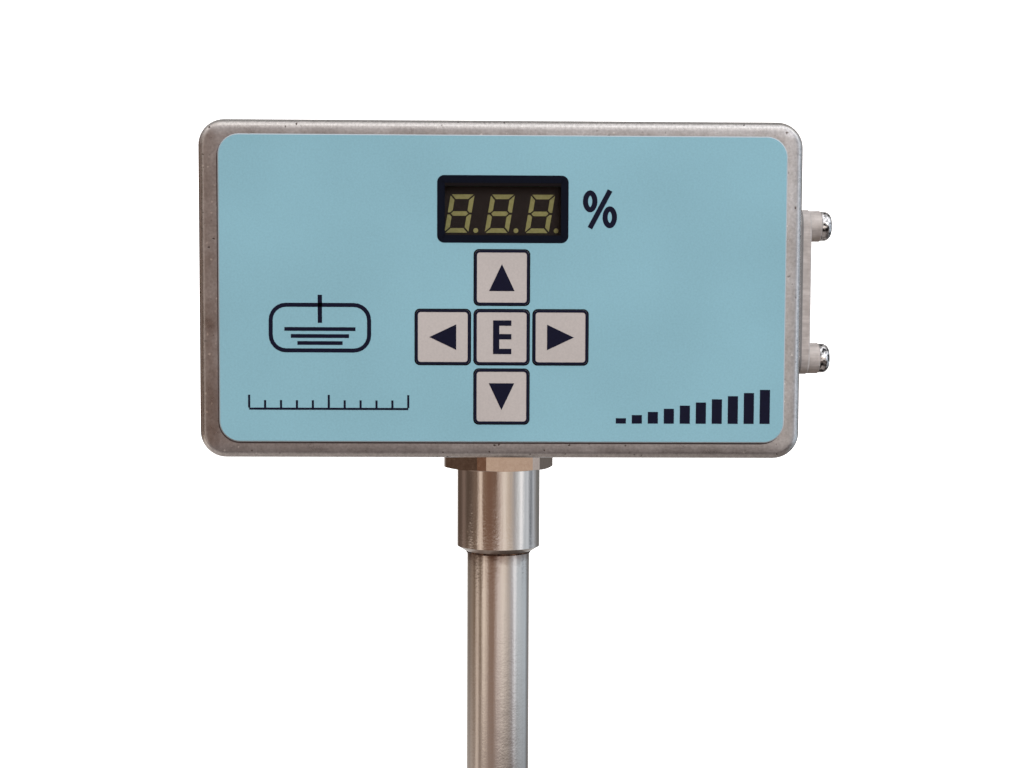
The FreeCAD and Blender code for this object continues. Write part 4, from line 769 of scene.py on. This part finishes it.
def print_plain_marks(ink):
    """Plain marks: a vessel with its level, a ruled scale and a row of rising bars."""
    label = front_of("keypad_overlay")[0]
    tank = label + VESSEL_PLACE
    flat_sheet(VESSEL_WIDTH, VESSEL_HEIGHT, tank)
    rounded(VESSEL_RADIUS)
    hollow(VESSEL_STROKE)
    close_piece()
    shell = bpy.context.object
    strokes = [(tank.x + left * MM, tank.x + right * MM, tank.z + low * MM, tank.z + high * MM)
               for left, right, low, high in VESSEL_LINES]
    join([shell] + bars(strokes, label.y))
    give_thickness(INK)
    settle(bpy.context.object, "vessel_mark", ink, "gauge")

    foot = label + SCALE_PLACE
    base = foot.z + SCALE_STROKE
    ruled = [(foot.x, foot.x + SCALE_STEPS * SCALE_PITCH, foot.z, base)]
    for number in range(SCALE_STEPS + 1):
        middle = foot.x + number * SCALE_PITCH
        height = SCALE_LONG if number % SCALE_LONG_EVERY == 0 else SCALE_SHORT
        ruled.append((middle - SCALE_STROKE / 2, middle + SCALE_STROKE / 2, base, base + height))
    join(bars(ruled, label.y))
    give_thickness(INK)
    settle(bpy.context.object, "scale_mark", ink, "gauge")

    foot = label + LEVELS_PLACE
    rising = []
    for number in range(LEVELS_COUNT):
        left = foot.x + number * LEVELS_PITCH
        rising.append((left, left + LEVELS_WIDTH, foot.z, foot.z + LEVELS_LOWEST + number * LEVELS_RISE))
    join(bars(rising, label.y))
    give_thickness(INK)
    settle(bpy.context.object, "level_bars_mark", ink, "gauge")


# Weld

def lay_weld(finish):
    """A rippled bead in the corner where the tube enters the stem."""
    tube = (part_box("probe_tube")[1].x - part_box("probe_tube")[0].x) / 2
    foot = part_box("probe_stem")[0].z
    bpy.ops.object.select_all(action="DESELECT")
    bpy.ops.mesh.primitive_torus_add(major_radius=tube, minor_radius=WELD_RADIUS,
                                     major_segments=4 * WELD_STEPS, minor_segments=10,
                                     location=(0, 0, foot))
    open_piece()
    turn = 2 * math.pi / WELD_STEPS

    def crest(spot):
        share = (math.atan2(spot.y, spot.x) / turn) % 1
        return CREST_START < share < CREST_END
    pick("VERT", crest)
    bpy.ops.transform.shrink_fatten(value=-WELD_RIPPLE)
    bpy.ops.mesh.select_all(action="SELECT")
    bpy.ops.transform.vertex_random(offset=WELD_ROUGHNESS, seed=WELD_SEED)
    close_piece()
    bpy.ops.object.shade_smooth()
    settle(bpy.context.object, "weld_bead", finish, "gauge")


# Stage, light and camera

def build_stage():
    """A pale floor that sweeps up all round into a pale dome. Only the camera sees it, so it neither
    shades nor lights the object."""
    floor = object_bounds()[0].z - STAGE_GAP
    bpy.ops.object.select_all(action="DESELECT")
    bpy.ops.mesh.primitive_uv_sphere_add(segments=96, ring_count=48, radius=STAGE_RADIUS,
                                         location=(0, 0, floor))
    open_piece()
    bpy.ops.mesh.bisect(plane_co=(0, 0, floor), plane_no=(0, 0, 1), use_fill=True, clear_inner=True)

    def skirting(spot):
        return abs(spot.z - floor) < MM
    pick("EDGE", skirting)
    bpy.ops.mesh.bevel(offset=STAGE_SWEEP, segments=16)
    bpy.ops.mesh.select_all(action="SELECT")
    bpy.ops.mesh.flip_normals()
    close_piece()
    bpy.ops.object.shade_smooth()
    stage = bpy.context.object
    stage.name = "pale_stage"
    # matt white paint: flat and even, with the faintest drift
    finish, tree, surface, place = begin_finish("matt_white_paint")
    drift = node(tree, "TexNoise", {"Vector": place, "Scale": per_mm(400), "Detail": 2})
    skin = node(tree, "Mix", {SHARE: drift, FIRST: linear("#F4F4F4"), SECOND: linear("#FAFAFA")},
                data_type="RGBA")
    feed(tree, surface, {
        "Base Color": skin,
        "Roughness": 0.9,
        "Emission Color": linear("#FFFFFF"),
        "Emission Strength": STAGE_GLOW,
    })
    # seen from below, the floor doesn't hide the object
    below = node(tree, "NewGeometry").outputs["Backfacing"]
    clear = node(tree, "BsdfTransparent")
    sided = node(tree, "MixShader", {"Fac": below, 1: surface, 2: clear})
    node(tree, "OutputMaterial", {"Surface": sided}, is_active_output=True)
    stage.data.materials.append(finish)
    for ray in ("diffuse", "glossy", "transmission", "shadow"):
        setattr(stage, "visible_" + ray, False)


def room_stops(walls):
    """Ramp stops for a turn round the room, its two ends first."""
    stops = [((angle + 180) / 360, (*colour, 1)) for angle, colour in walls]
    return [stops[0], stops[-1]] + stops[1:-1]


def light_room():
    """Soft room light: a brown wall on the left, a beige one in front, a bright window on the right,
    a white ceiling towards the viewer and a dim floor, lighter on the left."""
    world = bpy.data.worlds.new("soft_room")
    bpy.context.scene.world = world
    world.use_nodes = True
    tree = world.node_tree
    tree.nodes.clear()
    # a ray's parts: X to the right, Y to the back, Z up
    ray = node(tree, "SeparateXYZ", {"Vector": node(tree, "TexCoord").outputs["Generated"]})
    front = node(tree, "Math", {0: ray.outputs["Y"], 1: -1.0}, operation="MULTIPLY")
    round_about = node(tree, "Math", {0: ray.outputs["X"], 1: front}, operation="ARCTAN2")
    turn = node(tree, "MapRange", {"Value": round_about, "From Min": -math.pi, "From Max": math.pi})

    walls = node(tree, "ValToRGB", {"Fac": turn}, stops=room_stops(ROOM))
    walls_low = node(tree, "ValToRGB", {"Fac": turn}, stops=room_stops(ROOM_LOW))
    down = node(tree, "MapRange", {"Value": ray.outputs["Z"],
                                   "From Min": LOW_WALLS_START, "From Max": LOW_WALLS_FULL})
    room = node(tree, "Mix", {SHARE: down, FIRST: walls, SECOND: walls_low}, data_type="RGBA")

    across = node(tree, "MapRange", {"Value": ray.outputs["X"],
                                     "From Min": -ROOM_SIDE, "From Max": ROOM_SIDE})
    before = node(tree, "Mix", {SHARE: across, FIRST: CEILING_LEFT, SECOND: CEILING_RIGHT}, data_type="RGBA")
    behind = node(tree, "MapRange", {"Value": ray.outputs["Y"],
                                     "From Min": CEILING_BEHIND_START, "From Max": CEILING_BEHIND_FULL})
    ceiling = node(tree, "Mix", {SHARE: behind, FIRST: before, SECOND: CEILING_BEHIND}, data_type="RGBA")
    high = node(tree, "MapRange", {"Value": ray.outputs["Z"],
                                   "From Min": CEILING_START, "From Max": CEILING_FULL})
    roofed = node(tree, "Mix", {SHARE: high, FIRST: room, SECOND: ceiling}, data_type="RGBA")

    aside = node(tree, "Math", {0: round_about}, operation="ABSOLUTE")
    past = node(tree, "MapRange", {"Value": aside,
                                   "From Min": FLOOR_BEHIND_START, "From Max": FLOOR_BEHIND_FULL})
    sheen = node(tree, "Mix", {SHARE: FLOOR_SHEEN, FIRST: FLOOR_BEHIND, SECOND: walls_low}, data_type="RGBA")
    far = node(tree, "Mix", {SHARE: past, FIRST: FLOOR_FAR, SECOND: sheen}, data_type="RGBA")
    near = node(tree, "MapRange", {"Value": ray.outputs["Z"],
                                   "From Min": FLOOR_NEAR_START, "From Max": FLOOR_NEAR_FULL})
    floor = node(tree, "Mix", {SHARE: near, FIRST: far, SECOND: FLOOR_NEAR}, data_type="RGBA")
    shade = node(tree, "MapRange", {"Value": ray.outputs["X"], "From Min": -ROOM_SIDE, "From Max": ROOM_SIDE,
                                    "To Min": FLOOR_SHADE_LEFT, "To Max": FLOOR_SHADE_RIGHT})
    ground = node(tree, "Mix", {SHARE: 1.0, FIRST: floor, SECOND: shade},
                  data_type="RGBA", blend_type="MULTIPLY")
    low = node(tree, "MapRange", {"Value": ray.outputs["Z"], "From Min": FLOOR_START, "From Max": FLOOR_FULL})
    floored = node(tree, "Mix", {SHARE: low, FIRST: roofed, SECOND: ground}, data_type="RGBA")
    glow = node(tree, "Background", {"Color": floored, "Strength": 1.0})
    node(tree, "OutputWorld", {"Surface": glow})


def hang_lamp(name, place, size, power, colour, mirrored):
    """A square soft lamp that faces the box; polished metal mirrors it or not."""
    lamp = bpy.data.lights.new(name, "AREA")
    lamp.energy = power
    lamp.size = size
    lamp.color = linear(colour)[:3]
    holder = bpy.data.objects.new(name, lamp)
    bpy.context.collection.objects.link(holder)
    holder.location = place
    middle = (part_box("housing")[0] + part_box("housing")[1]) / 2
    holder.rotation_euler = (middle - Vector(place)).to_track_quat("-Z", "Y").to_euler()
    holder.visible_camera = False
    holder.visible_glossy = mirrored


def set_camera():
    """The photograph's camera, from its place, its turns and its lens."""
    ahead = Vector((math.sin(CAMERA_YAW) * math.cos(CAMERA_PITCH),
                    math.cos(CAMERA_YAW) * math.cos(CAMERA_PITCH), -math.sin(CAMERA_PITCH)))
    level = ahead.cross(Vector((0, 0, 1))).normalized()
    upright = level.cross(ahead)
    right = math.cos(CAMERA_ROLL) * level + math.sin(CAMERA_ROLL) * upright
    up = right.cross(ahead)
    turn = Matrix((right, up, -ahead)).transposed().to_4x4()
    eye = bpy.data.cameras.new("photo_camera")
    eye.lens = CAMERA_LENS
    eye.sensor_width = SENSOR
    eye.shift_y = CAMERA_SHIFT
    eye.clip_start = CAMERA_NEAREST
    holder = bpy.data.objects.new("photo_camera", eye)
    bpy.context.collection.objects.link(holder)
    holder.matrix_world = Matrix.Translation(CAMERA_PLACE) @ turn
    bpy.context.scene.camera = holder
    bpy.context.scene.view_settings.view_transform = "Standard"


# Put together: metals

dress(cast_aluminium(), "housing", "rear_lid")
dress(milled_aluminium(), "port_cover")
# buffed steel: pale and mirror-like, the tube a little duller than the stem and tinted below its weld
dress(polished_steel("stainless_turned", "#CEC7C1", "#DFD9D4", rough=0.08, tinted=False), "probe_stem")
dress(polished_steel("stainless_drawn", "#CEC7C1", "#DFD9D4", rough=0.1, tinted=True),
      "probe_tube", "inner_electrode")
# nickel plate: warm and bright
dress(plated_metal("nickel_plated", "#B49F91", "#D0BEB1", rough=0.12), "outer_nut", "inner_nut")
# zinc plate: dented, with black and white patches that are a painted reflection
dress(plated_metal("zinc_plated_painted_reflection", "#242426", "#FAFAFC", rough=0.05, dent=0.12, spread=0.1),
      "port_screws")
# new zinc plate: cool, even grey
dress(plated_metal("zinc_plated_bright", "#8F8E8E", "#C9C9CA", rough=0.12, dent=0.03),
      "lid_screws", "board_screws", "holder_screws")
# tin plate: pale, with a satin shine
dress(plated_metal("tinned_copper", "#B9B6B0", "#DAD8D4", rough=0.25),
      "display_pins", "header_pins", "measuring_shield", "battery_contacts", "feedthrough_pin",
      "power_capacitor")
# spring steel: warm grey, with a satin shine
dress(plated_metal("spring_steel", "#9C9890", "#C4C1BB", rough=0.22),
      "dome_up", "dome_down", "dome_left", "dome_right", "dome_enter")

# Put together: films, plastics, rubber and board

# the keypad's film: light blue, paler on its bevel, with a dark cut edge
dress(printed_film("polycarbonate_blue", "#8CB8C1", "#AEB9BD", "#10111C"), "keypad_overlay")
# the keys' film: warm grey, dark all round its edge
dress(printed_film("polycarbonate_grey", "#C0B6AE", "#0B0C18", "#0B0C18"),
      "key_up", "key_down", "key_left", "key_right", "key_enter")
# polyester film: near black, with a low gloss; painted shade, as only its walls round the display window show
dress(soft_tone("polyester_painted_shade", "#101014", "#1A1A1F", size=8, rough=0.45, gloss=0.2),
      "keypad_circuit", "keypad_spacer")
dress(clear_pane(), "display_window")
# potted epoxy: brown-black and dull
dress(soft_tone("epoxy_black", "#2A2320", "#352C28", size=1.2, rough=0.5, gloss=0.1), "led_display")
# diffusing epoxy: milky olive bars that aren't lit
dress(soft_tone("epoxy_diffused_olive", "#8E8650", "#BAB272", size=0.6, rough=0.4, gloss=0.3), "led_segments")
# moulded rubber: charcoal, dull and finely mottled
dress(soft_tone("rubber_black", "#1A1918", "#282624", size=1.5, rough=0.65), "lid_gasket", "stem_seal")
# pressed fibre: mid grey, flat and fleecy
dress(soft_tone("pressed_fibre_grey", "#77736F", "#8A8581", size=0.8, rough=0.7, gloss=0.2), "port_gasket")
dress(circuit_board(), "main_board")
# moulded plastic: even and half glossy, black or green
dress(soft_tone("moulded_black", "#17171A", "#242428", size=2, rough=0.5),
      "tail_connector", "processor", "service_header", "battery_holder")
dress(soft_tone("moulded_green", "#1E6B3C", "#2A8450", size=2, rough=0.45),
      "sense_terminal", "battery_terminal")
# turned fluoroplastic: chalky white
dress(soft_tone("fluoroplastic_white", "#E4E2DC", "#F3F2EE", size=3, rough=0.5),
      "electrode_spacers", "feedthrough_insulator", "end_guide")
# shrunk film round the cells: blue and smooth
dress(soft_tone("cell_wrap", "#2B4C7E", "#355C96", size=6, rough=0.35), "battery_upper", "battery_lower")
# soft insulation of the leads: dark red
dress(soft_tone("lead_wrap", "#8C1F1C", "#A82C26", size=3, rough=0.5), "sense_lead", "battery_lead")

# Put together: pieces on the frame. Screen inks are dense and nearly matt; the painted shadow beside the
# label is a dull grey.

navy_ink = soft_tone("screen_ink_navy", "#0C0D1F", "#14152C", size=0.6, rough=0.5, gloss=0.12)
midnight_ink = soft_tone("screen_ink_midnight", "#060A14", "#0D1220", size=0.6, rough=0.5, gloss=0.08)
# painted shade: the black of the frame in the display window
shade_black = soft_tone("painted_shade_black", "#120F0F", "#1B1616", size=0.6, rough=0.5, gloss=0.08)
# painted shadow: a dull grey line along the keypad label's left and lower edge
paint_label_shadow(soft_tone("painted_shadow_grey", "#625A5C", "#74696B", size=1.5, rough=0.7, gloss=0.1))
print_window_border(midnight_ink)
# painted shade round the display block, deepest at the top
paint_window_shade(shade_black)
print_percent(navy_ink)
print_keys(navy_ink)
print_plain_marks(navy_ink)
lay_weld(weld_scale())

# Put together: the set

build_stage()
light_room()
hang_lamp("daylight_lamp", place=(0.5, -1.05, 0.75), size=0.45, power=9, colour="#D6E8FF", mirrored=False)
hang_lamp("window_lamp", place=(0.66, -1.13, 0.48), size=0.35, power=1.1, colour="#EFF1F5", mirrored=True)
set_camera()
